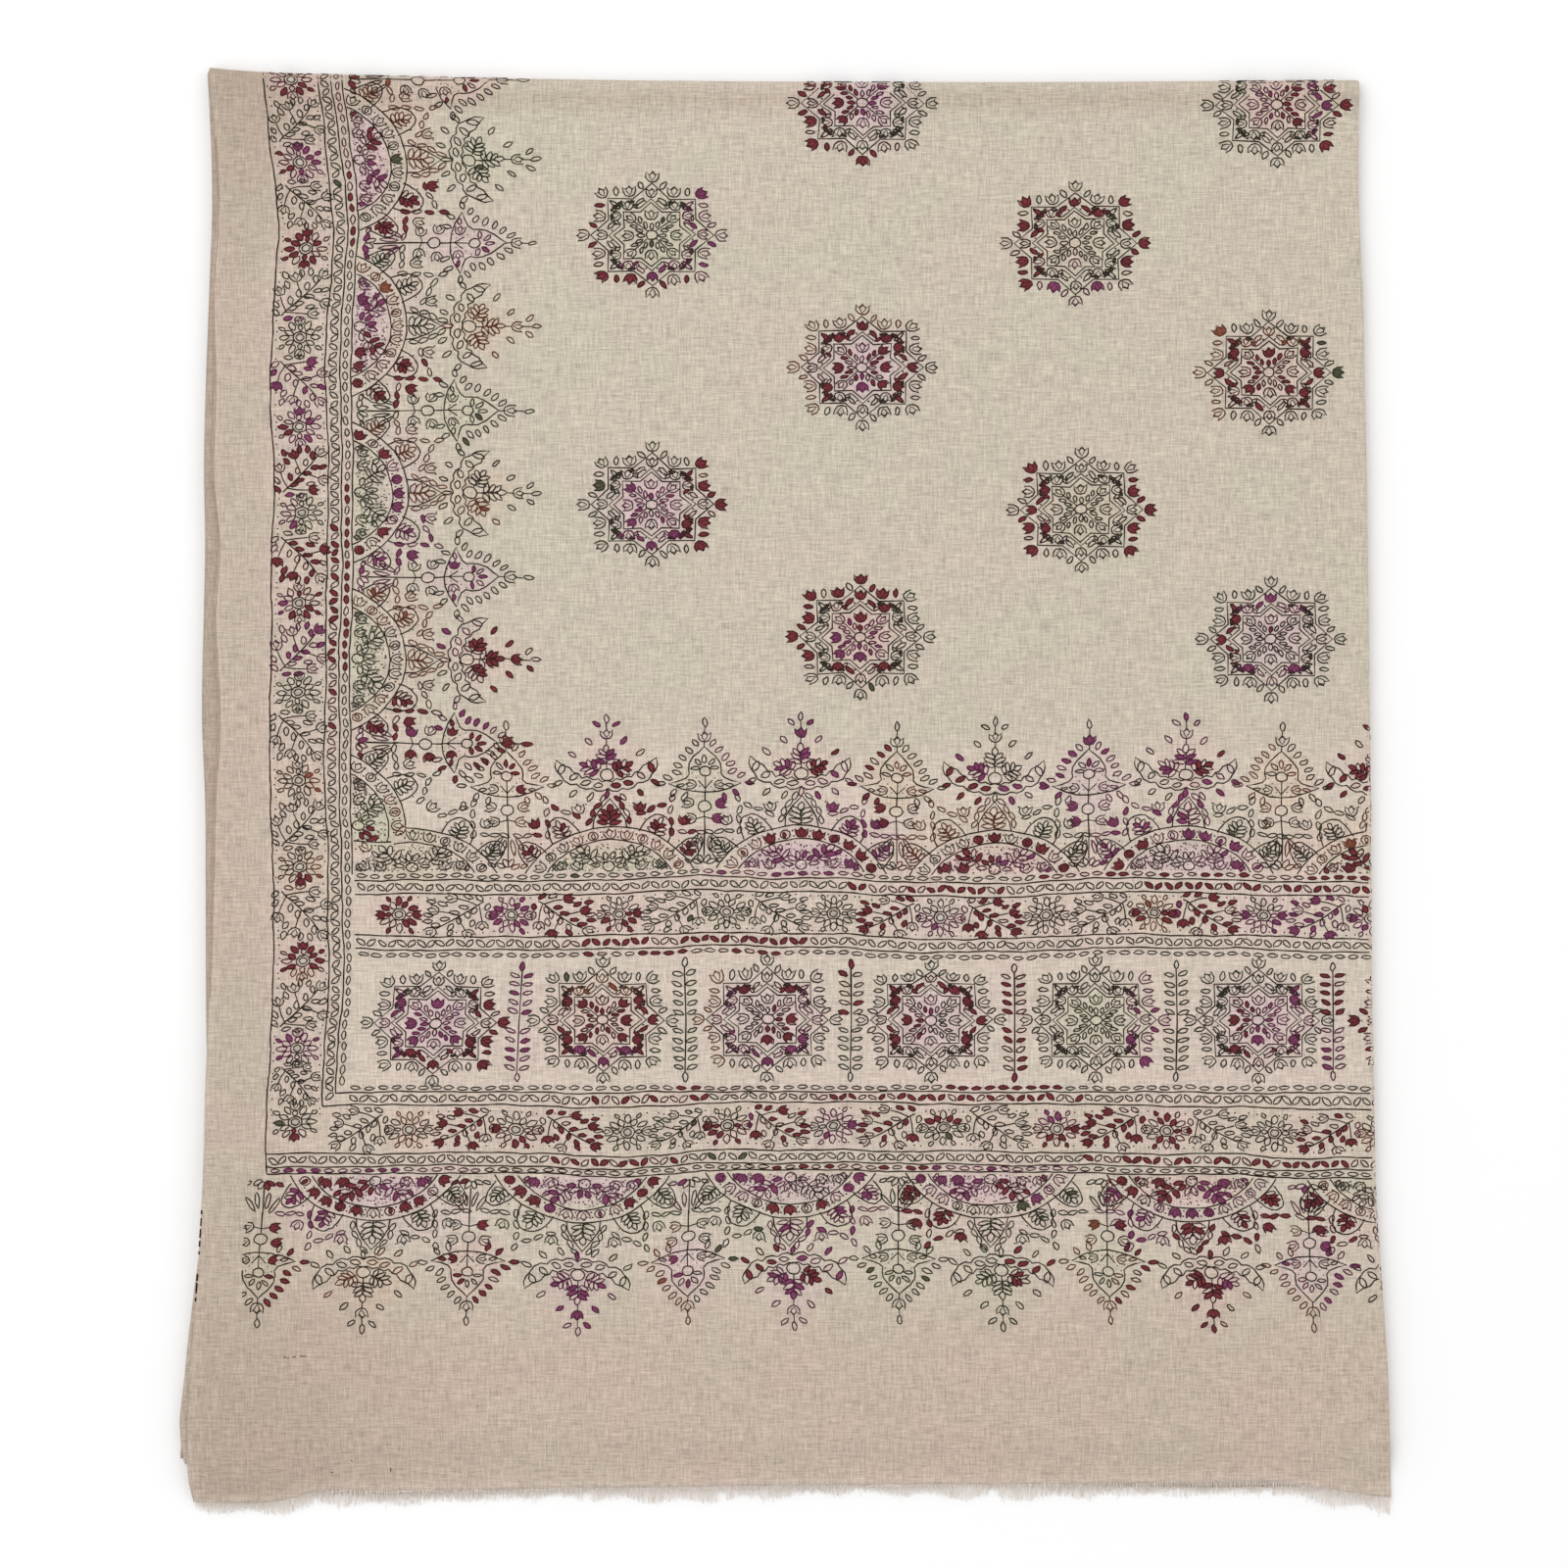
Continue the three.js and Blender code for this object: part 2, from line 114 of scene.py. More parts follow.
def curveThrough(keys, values):
    # a smooth curve through the points of a table
    keys, values = np.asarray(keys, float), np.asarray(values, float)
    slopes = np.gradient(values, keys)

    def at(where):
        where = np.clip(where, keys[0], keys[-1])
        i = np.clip(np.searchsorted(keys, where) - 1, 0, len(keys) - 2)
        h = keys[i + 1] - keys[i]
        t = (where - keys[i]) / h
        return (
            values[i] * (1 + 2 * t) * (1 - t) ** 2 + slopes[i] * h * t * (1 - t) ** 2
            + values[i + 1] * t * t * (3 - 2 * t) + slopes[i + 1] * h * t * t * (t - 1)
        )

    return at


selvedgeIn = {
    name: curveThrough(edgeLines[:, 0], edgeLines[:, k])
    for k, name in enumerate(("front", "under", "back"), 1)
}
foldOut = curveThrough(edgeLines[:, 0], edgeLines[:, 4])
lineOf = {
    name: curveThrough(acrossLines[:, 0], acrossLines[:, k])
    for k, name in enumerate(("rise", "front", "under", "back"), 1)
}


def topY(x):
    return fold["top"] + lineOf["rise"](x + fold["across"] / 2)


def hemY(x, layer):
    return fold["top"] - fold["length"] - lineOf[layer](x + fold["across"] / 2)


def foldX(y):
    return fold["across"] / 2 + foldOut(fold["top"] - y) - fold["sideRadius"]


def selvedgeX(y, layer, turn=0):
    down = fold["top"] - y
    return -fold["across"] / 2 + (1 - turn) * selvedgeIn[layer](down) + turn * selvedgeIn["back"](down)


def eased(t):
    t = np.clip(t, 0, 1)
    return t * t * (3 - 2 * t)


def liftAt(x, y):
    lift = np.zeros(np.broadcast(x, y).shape)
    for cx, cy, rx, ry, share in swells:
        lift += share * np.exp(-(((x - cx) / rx) ** 2) - ((y - cy) / ry) ** 2)
    for wx, wy, share, start in slack:
        lift += share * np.sin(2 * math.pi * (x / wx + y / wy) + start)
    return lift


def frontFace(x, y):
    # outer face of the front stretch, which goes on round the crosswise fold
    r = fold["topRadius"]
    start = topY(x) - r
    turn = np.clip((y - start) / r, 0, math.pi)
    past = np.maximum(y - start - math.pi * r, 0)
    flat = np.minimum(y, start)
    faceY = flat + r * np.sin(turn) - past
    return faceY, r + r * np.cos(turn), np.sin(turn), np.cos(turn), True


def backFace(x, w):
    # outer face of the back stretch: w runs down from the crosswise fold, round the back's own fold
    # and up again inside the bundle
    r = fold["backRadius"]
    start = topY(x) - fold["topRadius"] - fold["seam"]
    end = hemY(x, "back") + r
    turnAt = start - end
    turn = np.clip((w - turnAt) / r, 0, math.pi)
    past = np.maximum(w - turnAt - math.pi * r, 0)
    faceY = start - np.minimum(w, turnAt) - r * np.sin(turn) + past
    return faceY, r - r * np.cos(turn), -np.sin(turn), -np.cos(turn), False


def layOn(face, x, along, out=0):
    # the point at x and along on a sheet, raised by out from its outer face, in metres
    x, along, out = (np.asarray(v, float) for v in (x, along, out))
    faceY, faceZ, ny, nz, overhangs = face(x, along)
    edge = foldX(faceY)
    r = fold["sideRadius"]
    turn = np.clip((x - edge) / r, 0, math.pi)
    past = np.maximum(x - edge - math.pi * r, 0)
    px = np.minimum(x, edge) + (r + out) * np.sin(turn) - past
    depth = r - (r + out) * np.cos(turn)
    py, pz = faceY - ny * depth, faceZ - nz * depth
    if overhangs:
        pz = pz - fold["dropHeight"] * eased((hemY(px, "back") - py) / fold["dropReach"])
    pz = pz * (1 + liftAt(px, py))
    return np.stack([px + fold["shift"][0], py + fold["shift"][1], pz], axis=-1) * mm


# threads and colours
def linear(r, g, b):
    c = np.array([r, g, b], float) / 255
    return np.where(c <= 0.04045, c / 12.92, ((c + 0.055) / 1.055) ** 2.4)


# line is the outline's thread, fill the satin stitch inside, solid the share of leaves that have it,
# and dye the colour that has run into the cloth around
threads = {
    "wine": {
        "line": linear(58, 14, 20), "fill": linear(112, 42, 48), "solid": 0.64, "dye": linear(208, 176, 168),
    },
    "plum": {
        "line": linear(80, 22, 56), "fill": linear(120, 58, 90), "solid": 0.36, "dye": linear(204, 177, 182),
    },
    "green": {
        "line": linear(38, 42, 27), "fill": linear(80, 78, 58), "solid": 0.02, "dye": linear(191, 187, 163),
    },
    "rust": {
        "line": linear(88, 44, 26), "fill": linear(126, 72, 52), "solid": 0.05, "dye": linear(210, 182, 156),
    },
    "bare": {
        "line": linear(40, 31, 22), "fill": linear(150, 136, 116), "solid": 0.0, "dye": linear(198, 184, 164),
    },
    "dark": {
        "line": linear(36, 27, 20), "fill": linear(72, 50, 42), "solid": 0.85, "dye": linear(196, 182, 162),
    },
}
outlineThread = linear(38, 27, 16)
ringThread = linear(188, 178, 166)

tints = []  # where dye has run into the cloth: x, y, reach across, reach along, colour, share


def tint(x, y, reachX, reachY, names, share):
    tints.append((x, y, reachX, reachY, threads[names.split()[0]]["dye"], share))


# stitches
# The pattern is charted in steps of 0.428 mm, x across and y up from the middle of the panel, and
# every motif is worked 1.2 times as wide as it is tall.
chart = {"step": 0.428, "wide": 1.2, "middle": (802.25, 807.25)}
stitch = {
    "width": 0.88, "finerWidth": 0.82, "height": 0.2, "sunk": 0.06, "satin": 0.1, "uneven": 0.1, "inset": 0.9,
}
pastFold = 640  # where the bands end, round the lengthwise fold

# how the worked lines wander: where, and by how much, in chart steps
borderDrift = curveThrough(
    [
        -760, -363, -303, -243, -183, -123, -63, -3, 117, 177, 237, 327, 417, 477, 537, 573, 609, 657, 697,
        731, 760,
    ],
    [-5, -5, -4, -1, 3, 2, 1, -1, -1, 0, 1, 2, -0.5, 1, 5, 7.5, 5, -1, -5, -9.5, -12],
)
upperDrift = curveThrough(
    [-560, -432, -372, -252, -192, -132, -72, -12, 48, 108, 168, 228, 288, 348, 408, 468, 528, 588, 640],
    [0, 0, -1, -1, 0, 2, 4, 2, 2, -2, -3, -3, 0, 2, 1, 0, -2, -3, -4],
)
lowerDrift = curveThrough(
    [
        -560, -517, -452, -387, -322, -257, -192, -127, -62, 3, 68, 133, 198, 263, 328, 393, 458, 523, 588,
        640,
    ],
    [-1, -1, 0, 0, 1, 0, -3, -1, 4, 3, 4, 2, 2, 1, 1, -1, -1, -5, -4, -5],
)


def wander(p):
    x, y = p[:, 0], p[:, 1]
    nearBorder = 1 - eased((x + 290) / 60)
    nearUpper = eased((y + 200) / 25) * (1 - eased((y - 60) / 60)) * (1 - nearBorder * 0.5)
    nearLower = 1 - eased((y + 325) / 25)
    dx = nearBorder * borderDrift(y) + 0.5 * np.sin(x / 17 + y / 23) + 0.4 * np.sin(y / 9.0 + 1)
    dy = nearUpper * upperDrift(x) + nearLower * lowerDrift(x)
    dy = dy + 0.5 * np.sin(x / 21 - y / 15) + 0.4 * np.sin(x / 8.0)
    dx = dx + np.maximum(-390 - y, 0) * 0.05 * np.clip(x / 500, -1, 1)
    return np.stack([x + dx, y + dy], axis=1)


def newWork():
    return {"points": [], "faces": [], "colors": [], "count": 0}


def placeAt(x, y, turn=0, size=1):
    # a motif's place on the chart, with its own y axis turned by degrees from straight up
    a = math.radians(turn)
    wide = np.diag([chart["wide"], 1])
    spin = np.array([[math.cos(a), -math.sin(a)], [math.sin(a), math.cos(a)]]) * size
    return np.column_stack([wide @ spin, [x, y]])


def within(place, x, y, turn=0, size=1, flip=1):
    a = math.radians(turn)
    spin = np.array([[math.cos(a), -math.sin(a)], [math.sin(a), math.cos(a)]]) @ np.diag([size * flip, size])
    return np.column_stack([place[:, :2] @ spin, place[:, :2] @ [x, y] + place[:, 2]])


def onChart(place, points):
    p = np.asarray(points, float) @ place[:, :2].T + place[:, 2]
    return wander(p) * chart["step"]


def lay(work, points, faces, color):
    work["points"].append(points)
    work["faces"] += [tuple(i + work["count"] for i in f) for f in faces]
    work["colors"].append(np.broadcast_to(color, (len(points), 3)))
    work["count"] += len(points)


window = {"keep": None}  # where stitches are worked, while a motif is cut short by its neighbour


def cutAway(place, x, y):
    if window["keep"] is None:
        return False
    return not window["keep"](*(place[:, :2] @ [x, y] + place[:, 2]))


def thread(work, place, points, color, closed=False, width=1.0):
    # a line of stem stitch: a low ridge with a flat underside
    points = np.asarray(points, float)
    if window["keep"] is not None and any(cutAway(place, *q) for q in points):
        if closed:
            points, closed = np.vstack([points, points[:1]]), False
            start = next((k for k, q in enumerate(points) if cutAway(place, *q)), 0)
            points = np.vstack([points[start:-1], points[:start + 1]])
        fine = [points[0]]
        for a, b in zip(points[:-1], points[1:]):
            count = max(1, int(np.linalg.norm(b - a) / 3))
            fine += [a + (b - a) * (k + 1) / count for k in range(count)]
        points = np.array([q for q in fine if not cutAway(place, *q)])
        if len(points) < 2:
            return
    p = onChart(place, points)
    p = p + rng.normal(0, stitch["uneven"], p.shape)
    ridge(work, p, color * (0.85 + 0.3 * rng.random()), closed, width)


def ridge(work, p, color, closed=False, width=1.0):
    # the body of one thread along points on the sheet, in millimetres
    n = len(p)
    ahead = np.roll(p, -1, 0) if closed else np.vstack([p[1:], p[-1:]])
    behind = np.roll(p, 1, 0) if closed else np.vstack([p[:1], p[:-1]])
    run = ahead - behind
    run /= np.maximum(np.linalg.norm(run, axis=1), 1e-6)[:, None]
    half = stitch["width"] * width / 2 * rng.uniform(0.8, 1.15, (n, 1))
    side = np.stack([-run[:, 1], run[:, 0]], axis=1) * half
    sunk, top = np.full((n, 1), -stitch["sunk"]), np.full((n, 1), stitch["height"])
    rows = np.stack(
        [np.hstack([p + side, sunk]), np.hstack([p, top]), np.hstack([p - side, sunk])], axis=1,
    )
    faces = []
    for i in range(n if closed else n - 1):
        a, b = 3 * i, 3 * ((i + 1) % n)
        faces += [(a, a + 1, b + 1, b), (a + 1, a + 2, b + 2, b + 1), (a + 2, a, b, b + 2)]
    if not closed:
        faces += [(2, 1, 0), (3 * n - 3, 3 * n - 2, 3 * n - 1)]
    lay(work, rows.reshape(-1, 3), faces, color)


def satin(work, place, outline, middle, color):
    # a filled shape, slightly domed, with painted shade darker at its edge and a painted highlight in its
    # middle
    outline = (np.asarray(outline) - middle) * stitch["inset"] + middle
    p = onChart(place, np.vstack([outline, [middle]]))
    n = len(outline)
    out = np.full((n + 1, 1), 0.02)
    out[n] = stitch["satin"]
    turn = np.cross(p[1] - p[0], p[2] - p[1]) < 0
    faces = [(n, (i + 1) % n, i) if turn else (n, i, (i + 1) % n) for i in range(n)]
    # painted shade round the edge and a painted highlight at the middle point
    shade = np.append(rng.uniform(0.6, 0.95, n), 1.1)[:, None] * (0.85 + 0.3 * rng.random())
    lay(work, np.hstack([p, out]), faces, color * shade)


def styleOf(names, angle):
    # the thread of one element: a motif's threads change round it, to the right, up, left and down
    names = names.split()
    return threads[names[int(round(angle / 360 * len(names))) % len(names)]]


leafHalf = [(0, 0), (0.15, 0.3), (0.38, 0.49), (0.64, 0.47), (0.86, 0.26), (1, 0)]
leafOutline = np.array(leafHalf + [(x, -y) for x, y in leafHalf[-2:0:-1]])
smallLeafHalf = [(0, 0), (0.2, 0.38), (0.5, 0.5), (0.8, 0.34), (1, 0)]
smallLeafOutline = np.array(smallLeafHalf + [(x, -y) for x, y in smallLeafHalf[-2:0:-1]])
budOutline = np.array([
    (0, 0), (0.32, 0.1), (0.52, 0.42), (0.56, 0.95), (0.28, 0.7), (0, 1.08),
    (-0.28, 0.7), (-0.56, 0.95), (-0.52, 0.42), (-0.32, 0.1),
])
petalOutline = np.array([(0, 0.16), (0.2, 0.5), (0.24, 0.74), (0, 0.96), (-0.24, 0.74), (-0.2, 0.5)])


def leaf(work, place, x, y, turn, style, length=9, width=4.4, outline=leafOutline, solid=None):
    # turn is from straight up; x, y is the leaf's middle
    if cutAway(place, x, y):
        return
    turn += rng.normal(0, 5)
    here = within(place, x + rng.normal(0, 0.3), y + rng.normal(0, 0.3), turn + 90, rng.uniform(0.92, 1.07))
    shape = outline * [length, width] - [length / 2, 0]
    if solid is None:
        solid = rng.random() < style["solid"]
    if solid:
        satin(work, here, shape, (0, 0), style["fill"])
    thread(work, here, shape, style["line"], closed=True)


def bud(work, place, x, y, turn, style, size=9):
    # a small tulip, its foot towards the motif
    if cutAway(place, x, y):
        return
    here = within(place, x, y, turn + rng.normal(0, 3))
    shape = budOutline * size - [0, size / 2]
    if rng.random() < style["solid"]:
        satin(work, here, shape, (0, -0.1 * size), style["fill"])
    thread(work, here, shape, style["line"], closed=True)
    thread(work, here, petalOutline * size - [0, size / 2], style["line"], closed=True, width=0.75)


def dot(work, place, x, y, color, size=2.0):
    if cutAway(place, x, y):
        return
    shape = np.array([(0, 1), (0.9, 0.3), (0.6, -0.8), (-0.6, -0.8), (-0.9, 0.3)]) * size / 2
    satin(work, within(place, x, y, rng.uniform(0, 90)), shape, (0, 0), color)


def ring(work, place, x, y, radius, color=outlineThread, count=12, fill=None):
    if cutAway(place, x, y):
        return
    a = np.arange(count) * 2 * math.pi / count
    shape = np.stack([np.cos(a), np.sin(a)], 1) * radius + [x, y]
    if fill is not None:
        satin(work, place, shape, (x, y), fill)
    thread(work, place, shape, color, closed=True)


def palm(work, place, x, y, turn, style, size=15, leaflets=3):
    # a leaf of narrow leaflets on both sides of a rib, its foot at x, y
    here = within(place, x, y, turn)
    rib = size * 0.62
    thread(work, here, [(0, 0), (0, rib)], style["line"])
    for k in range(leaflets):
        share = (k + 0.6) / leaflets
        for side in (-1, 1):
            a = side * (78 - 34 * share)
            reach = size * (0.5 - 0.12 * abs(share - 0.45))
            foot = rib * share * 0.85
            out, up = math.sin(math.radians(a)) * reach / 2, math.cos(math.radians(a)) * reach / 2
            leaf(work, here, -out, foot + up, a, style, reach, size * 0.2, smallLeafOutline)
    leaf(work, here, 0, rib + size * 0.17, 0, style, size * 0.4, size * 0.24, smallLeafOutline)


def beads(work, place, points, style, pitch=9.2, length=9, width=4):
    # leaves end to end along a line
    p = np.asarray(points, float)
    steps = np.linalg.norm(np.diff(p, axis=0), axis=1)
    along = np.concatenate([[0], np.cumsum(steps)])
    count = max(1, int(round(along[-1] / pitch)))
    for k in range(count):
        s = along[-1] * (k + 0.5) / count
        i = min(np.searchsorted(along, s) - 1, len(steps) - 1) if s > 0 else 0
        t = (s - along[i]) / steps[i]
        at = p[i] * (1 - t) + p[i + 1] * t
        d = p[i + 1] - p[i]
        turn = math.degrees(math.atan2(-d[0], d[1])) + (14 if k % 2 else -14)
        leaf(work, place, at[0], at[1], turn, style, length, width, smallLeafOutline)


def finish(work, name):
    # the stitches laid on the front's outer face, as one mesh of their own
    flat = np.vstack(work["points"])
    mesh = bpy.data.meshes.new(name)
    points = layOn(frontFace, flat[:, 0], flat[:, 1], flat[:, 2])
    mesh.from_pydata(points.tolist(), [], work["faces"])
    tone = mesh.color_attributes.new("threadColor", "FLOAT_COLOR", "POINT")
    colors = np.column_stack([np.vstack(work["colors"]), np.ones(len(flat))])
    tone.data.foreach_set("color", colors.ravel())
    mesh.update()
    piece = bpy.data.objects.new(name, mesh)
    bpy.context.collection.objects.link(piece)
    piece.data.shade_smooth()
    piece.data.materials.append(stitchMaterial)
    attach(piece, "root")
    print(f"{name}: {sum(len(f) - 2 for f in work['faces'])} triangles")
    return piece


# materials
weave = {
    "slubs": [  # scale across and along, detail, share
        ((1600, 170, 1), 2, 0.95), ((170, 1600, 1), 2, 0.95), ((1050, 60, 1), 2, 0.6),
        ((60, 1050, 1), 2, 0.6), ((2600, 2600, 1), 1, 0.5),
    ],
    "contrast": 0.32, "mottle": 22, "roughness": 0.92, "relief": 0.0004,
}
twist = {"scale": 2600, "contrast": 0.25, "relief": 0.0001}


def nodesOf(name):
    material = bpy.data.materials.new(name)
    material.use_nodes = True
    return material, material.node_tree.nodes, material.node_tree.links


def withValues(node, values):
    for socket, value in values.items():
        node.inputs[socket].default_value = value
    return node


def raised(nodes, links, height, strength, relief):
    # relief from a height, on the material's shader
    bump = withValues(nodes.new("ShaderNodeBump"), {"Strength": strength, "Distance": relief})
    links.new(height, bump.inputs["Height"])
    links.new(bump.outputs["Normal"], nodes["Principled BSDF"].inputs["Normal"])


def clothFinish(name):
    # plain weave of uneven yarn: the slubs lie along the warp and along the weft
    material, nodes, links = nodesOf(name)
    shader = withValues(nodes["Principled BSDF"], {
        "Roughness": weave["roughness"], "Specular IOR Level": 0.15, "Sheen Weight": 0.15,
        "Sheen Roughness": 0.6,
    })
    uv = nodes.new("ShaderNodeUVMap")
    uv.uv_map = "clothMetres"
    whole = sum(share for _, _, share in weave["slubs"])
    total = None
    for scale, detail, share in weave["slubs"]:
        mapping = withValues(nodes.new("ShaderNodeMapping"), {"Scale": scale})
        noise = nodes.new("ShaderNodeTexNoise")
        noise.noise_dimensions = "2D"
        withValues(noise, {"Scale": 1, "Detail": detail, "Roughness": 0.6})
        links.new(uv.outputs["UV"], mapping.inputs["Vector"])
        links.new(mapping.outputs["Vector"], noise.inputs["Vector"])
        step = nodes.new("ShaderNodeMath")
        step.operation = "MULTIPLY_ADD"
        withValues(step, {1: share / whole, 2: 0})
        links.new(noise.outputs["Fac"], step.inputs[0])
        if total is not None:
            links.new(total, step.inputs[2])
        total = step.outputs[0]
    yarn = withValues(nodes.new("ShaderNodeMapRange"), {
        "From Min": 0.36, "From Max": 0.64, "To Min": 1 - weave["contrast"], "To Max": 1 + weave["contrast"],
    })
    links.new(total, yarn.inputs["Value"])
    mottle = nodes.new("ShaderNodeTexNoise")
    mottle.noise_dimensions = "2D"
    withValues(mottle, {"Scale": weave["mottle"], "Detail": 4})
    links.new(uv.outputs["UV"], mottle.inputs["Vector"])
    cast = nodes.new("ShaderNodeValToRGB")
    greener, pinker = cast.color_ramp.elements
    greener.position, greener.color = 0.35, (0.98, 1.0, 0.98, 1)
    pinker.position, pinker.color = 0.65, (1.012, 0.99, 0.995, 1)
    links.new(mottle.outputs["Fac"], cast.inputs["Fac"])
    # the cloth's colour attribute, which holds its painted shade too
    tone = nodes.new("ShaderNodeAttribute")
    tone.attribute_name = "clothToneAndShade"
    warm = nodes.new("ShaderNodeMix")
    warm.data_type = "RGBA"
    warm.blend_type = "MULTIPLY"
    warm.inputs["Factor"].default_value = 1
    links.new(tone.outputs["Color"], warm.inputs[6])
    links.new(cast.outputs["Color"], warm.inputs[7])
    woven = nodes.new("ShaderNodeVectorMath")
    woven.operation = "SCALE"
    links.new(warm.outputs[2], woven.inputs[0])
    links.new(yarn.outputs["Result"], woven.inputs["Scale"])
    links.new(woven.outputs["Vector"], shader.inputs["Base Color"])
    raised(nodes, links, total, 0.35, weave["relief"])
    return material


def threadFinish(name, roughness, attribute=None, color=None):
    # spun thread, with a fine twist, in one colour or in that of an attribute
    material, nodes, links = nodesOf(name)
    shader = withValues(nodes["Principled BSDF"], {"Roughness": roughness, "Specular IOR Level": 0.2})
    place = nodes.new("ShaderNodeTexCoord")
    noise = withValues(nodes.new("ShaderNodeTexNoise"), {"Scale": twist["scale"], "Detail": 2})
    links.new(place.outputs["Object"], noise.inputs["Vector"])
    shade = withValues(nodes.new("ShaderNodeMapRange"), {
        "From Min": 0.3, "From Max": 0.7, "To Min": 1 - twist["contrast"], "To Max": 1 + twist["contrast"],
    })
    links.new(noise.outputs["Fac"], shade.inputs["Value"])
    spun = nodes.new("ShaderNodeVectorMath")
    spun.operation = "SCALE"
    if attribute:
        tone = nodes.new("ShaderNodeAttribute")
        tone.attribute_name = attribute
        links.new(tone.outputs["Color"], spun.inputs[0])
    else:
        spun.inputs[0].default_value = tuple(color)
    links.new(shade.outputs["Result"], spun.inputs["Scale"])
    links.new(spun.outputs["Vector"], shader.inputs["Base Color"])
    raised(nodes, links, noise.outputs["Fac"], 0.3, twist["relief"])
    return material


clothMaterial = clothFinish("woven pashmina")
stitchMaterial = threadFinish("embroidery thread", 0.7, attribute="threadColor")
yarnMaterial = threadFinish("frayed yarn", 0.9, color=linear(250, 240, 230))


# motifs
def star(tip, side, notch):
    quarter = np.array([(0, tip), (notch, side), (side, side), (side, notch)], float)
    return np.vstack([quarter @ np.linalg.matrix_power([[0, -1], [1, 0]], k) for k in range(4)])


def starMedallion(work, x, y, outer, border, inner, dye, share):
    # outer, border and inner name the threads to the right, top, left and bottom
    place = placeAt(x, y)
    for tip, side, notch in ((52, 37, 15.5), (33, 24, 9)):
        thread(work, place, star(tip, side, notch), outlineThread, closed=True)
    ring(work, place, 0, 0, 5)
    for k in range(4):
        quarter = within(place, 0, 0, 90 * k)
        heading = (90 * k + 90) % 360  # of the tip, from the right
        thread(work, quarter, [(-12, 27), (-9, 28), (0, 37), (9, 28), (12, 27)], outlineThread, width=0.8)
        leaf(work, quarter, -31, 31, 45, styleOf(border, heading + 45), 12, 3.6)
        bud(work, quarter, 0, 42.5, 0, styleOf(border, heading), 8.5)
        leaf(work, quarter, 0, 9.2, 0, styleOf(inner, heading), 7, 3.4)
        bud(work, quarter, 0, 20.5, 0, styleOf(inner, heading), 9.5)
        arm = styleOf(inner, heading + 45)
        thread(work, quarter, [(-4, 4), (-15, 15)], outlineThread, width=0.8)
        bud(work, quarter, -17.5, 17.5, 45, arm, 8.5)
        for out in (7.5, 12):
            leaf(work, quarter, -out - 3.4, out - 2.4, 78, arm, 7, 2.9)
            leaf(work, quarter, -out + 2.4, out + 3.4, 12, arm, 7, 2.9)
        bud(work, quarter, 0, 58.5, 0, styleOf(outer, heading), 10)
        for side in (-1, 1):
            near = styleOf(outer, heading - 20 * side)
            far = styleOf(outer, heading - 42 * side)
            leaf(work, quarter, side * 9.5, 35, side * 46, styleOf(border, heading - 15 * side), 9.5, 3.6)
            bud(work, quarter, side * 20, 30.5, side * 6, styleOf(border, heading - 30 * side), 9)
            leaf(work, quarter, side * 9.5, 50.5, -side * 34, near, 8.6, 4)
            bud(work, quarter, side * 18.5, 44.5, -side * 8, near, 10)
            leaf(work, quarter, side * 30, 44.5, 0, far, 8.6, 4)
            leaf(work, quarter, side * 26.5, 31, side * 82, styleOf(border, heading - 38 * side), 6.5, 3)
            leaf(work, quarter, side * 13.5, 29.5, -side * 40, styleOf(border, heading - 20 * side), 6, 2.8)
            leaf(work, quarter, side * 31.5, 27.5, side * 45, threads["dark"], 5, 2.6)
            leaf(work, quarter, side * 17, 34.2, side * 80, threads["dark"], 5, 2.2)
            for dx, dy in ((5, 34.5), (14.5, 34.5), (25.5, 34.5), (28, 26.5), (4, 46), (34, 34), (11, 31)):
                dot(work, quarter, side * dx, dy, outlineThread, 2.4)
        bud(work, quarter, -42, 42, 30, styleOf(outer, heading + 45), 10)
    tint(x, y, 62, 50, dye, share * 0.5)
    tint(x, y, 32, 27, dye, share)


def flower(work, place, x, y, names):
    here = within(place, x, y)
    for k in range(12):
        a = 30 * k
        style = styleOf(names, a + 90)
        petal = within(here, 0, 0, a)
        if k % 2:
            leaf(work, petal, 0, 13.6, 0, style, 9.5, 5)
        elif k % 3:
            leaf(work, petal, 0, 10.6, 0, style, 8.4, 4.8)
            leaf(work, petal, 0, 18.6, 0, style, 6, 3.4, smallLeafOutline)
        else:
            leaf(work, petal, 0, 9.2, 0, style, 6, 4)
            bud(work, petal, 0, 16, 0, style, 8)
    ring(work, here, 0, 0, 5.8)
    ring(work, here, 0, 0, 3.4, fill=ringThread)


def spray(work, place, names):
    # a forked stem with buds, 46 steps of it between two flowers: y runs along the band
    thread(work, place, [(-16, -22), (-13, -18), (-6, -11), (2, -2), (9, 7), (14, 15)], outlineThread)
    branches = [
        ([(0, -4), (-2, 3), (-5, 12)], (-6, 17), 15),
        ([(2, -3), (9, -5), (16, -8)], (20, -10), -115),
        ([(-13, -18), (-4, -20), (6, -21)], (11, -21), -88),
        ([(-12, -17), (-16, -9), (-18, -2)], (-19, 3), 12),
    ]
    for line, tip, turn in branches:
        thread(work, place, line, outlineThread, width=0.9)
        bud(work, place, tip[0], tip[1], turn, styleOf(names, tip[1] * 4), 9)
    bud(work, place, 17, 19.5, -35, styleOf(names, 90), 9)
    for x, y, turn in (
        (13, 3.5, -78), (6, -3.5, -92), (-1, -10, -80), (-6, -15, -75), (4, 8, 0), (-3, 0, 5),
        (-9, -6, 10), (10, 15, 0), (-21, -10, 30), (-21, -19, 40), (19, 4, -60), (8, -14, -80),
        (-13, 10, 30), (-1, 21, 5), (6, 22, -10), (0, -26, -85), (-10, -25, -80), (-15, 19, 20),
    ):
        leaf(work, place, x, y, turn, styleOf(names, y * 4), 8.2, 4.2)


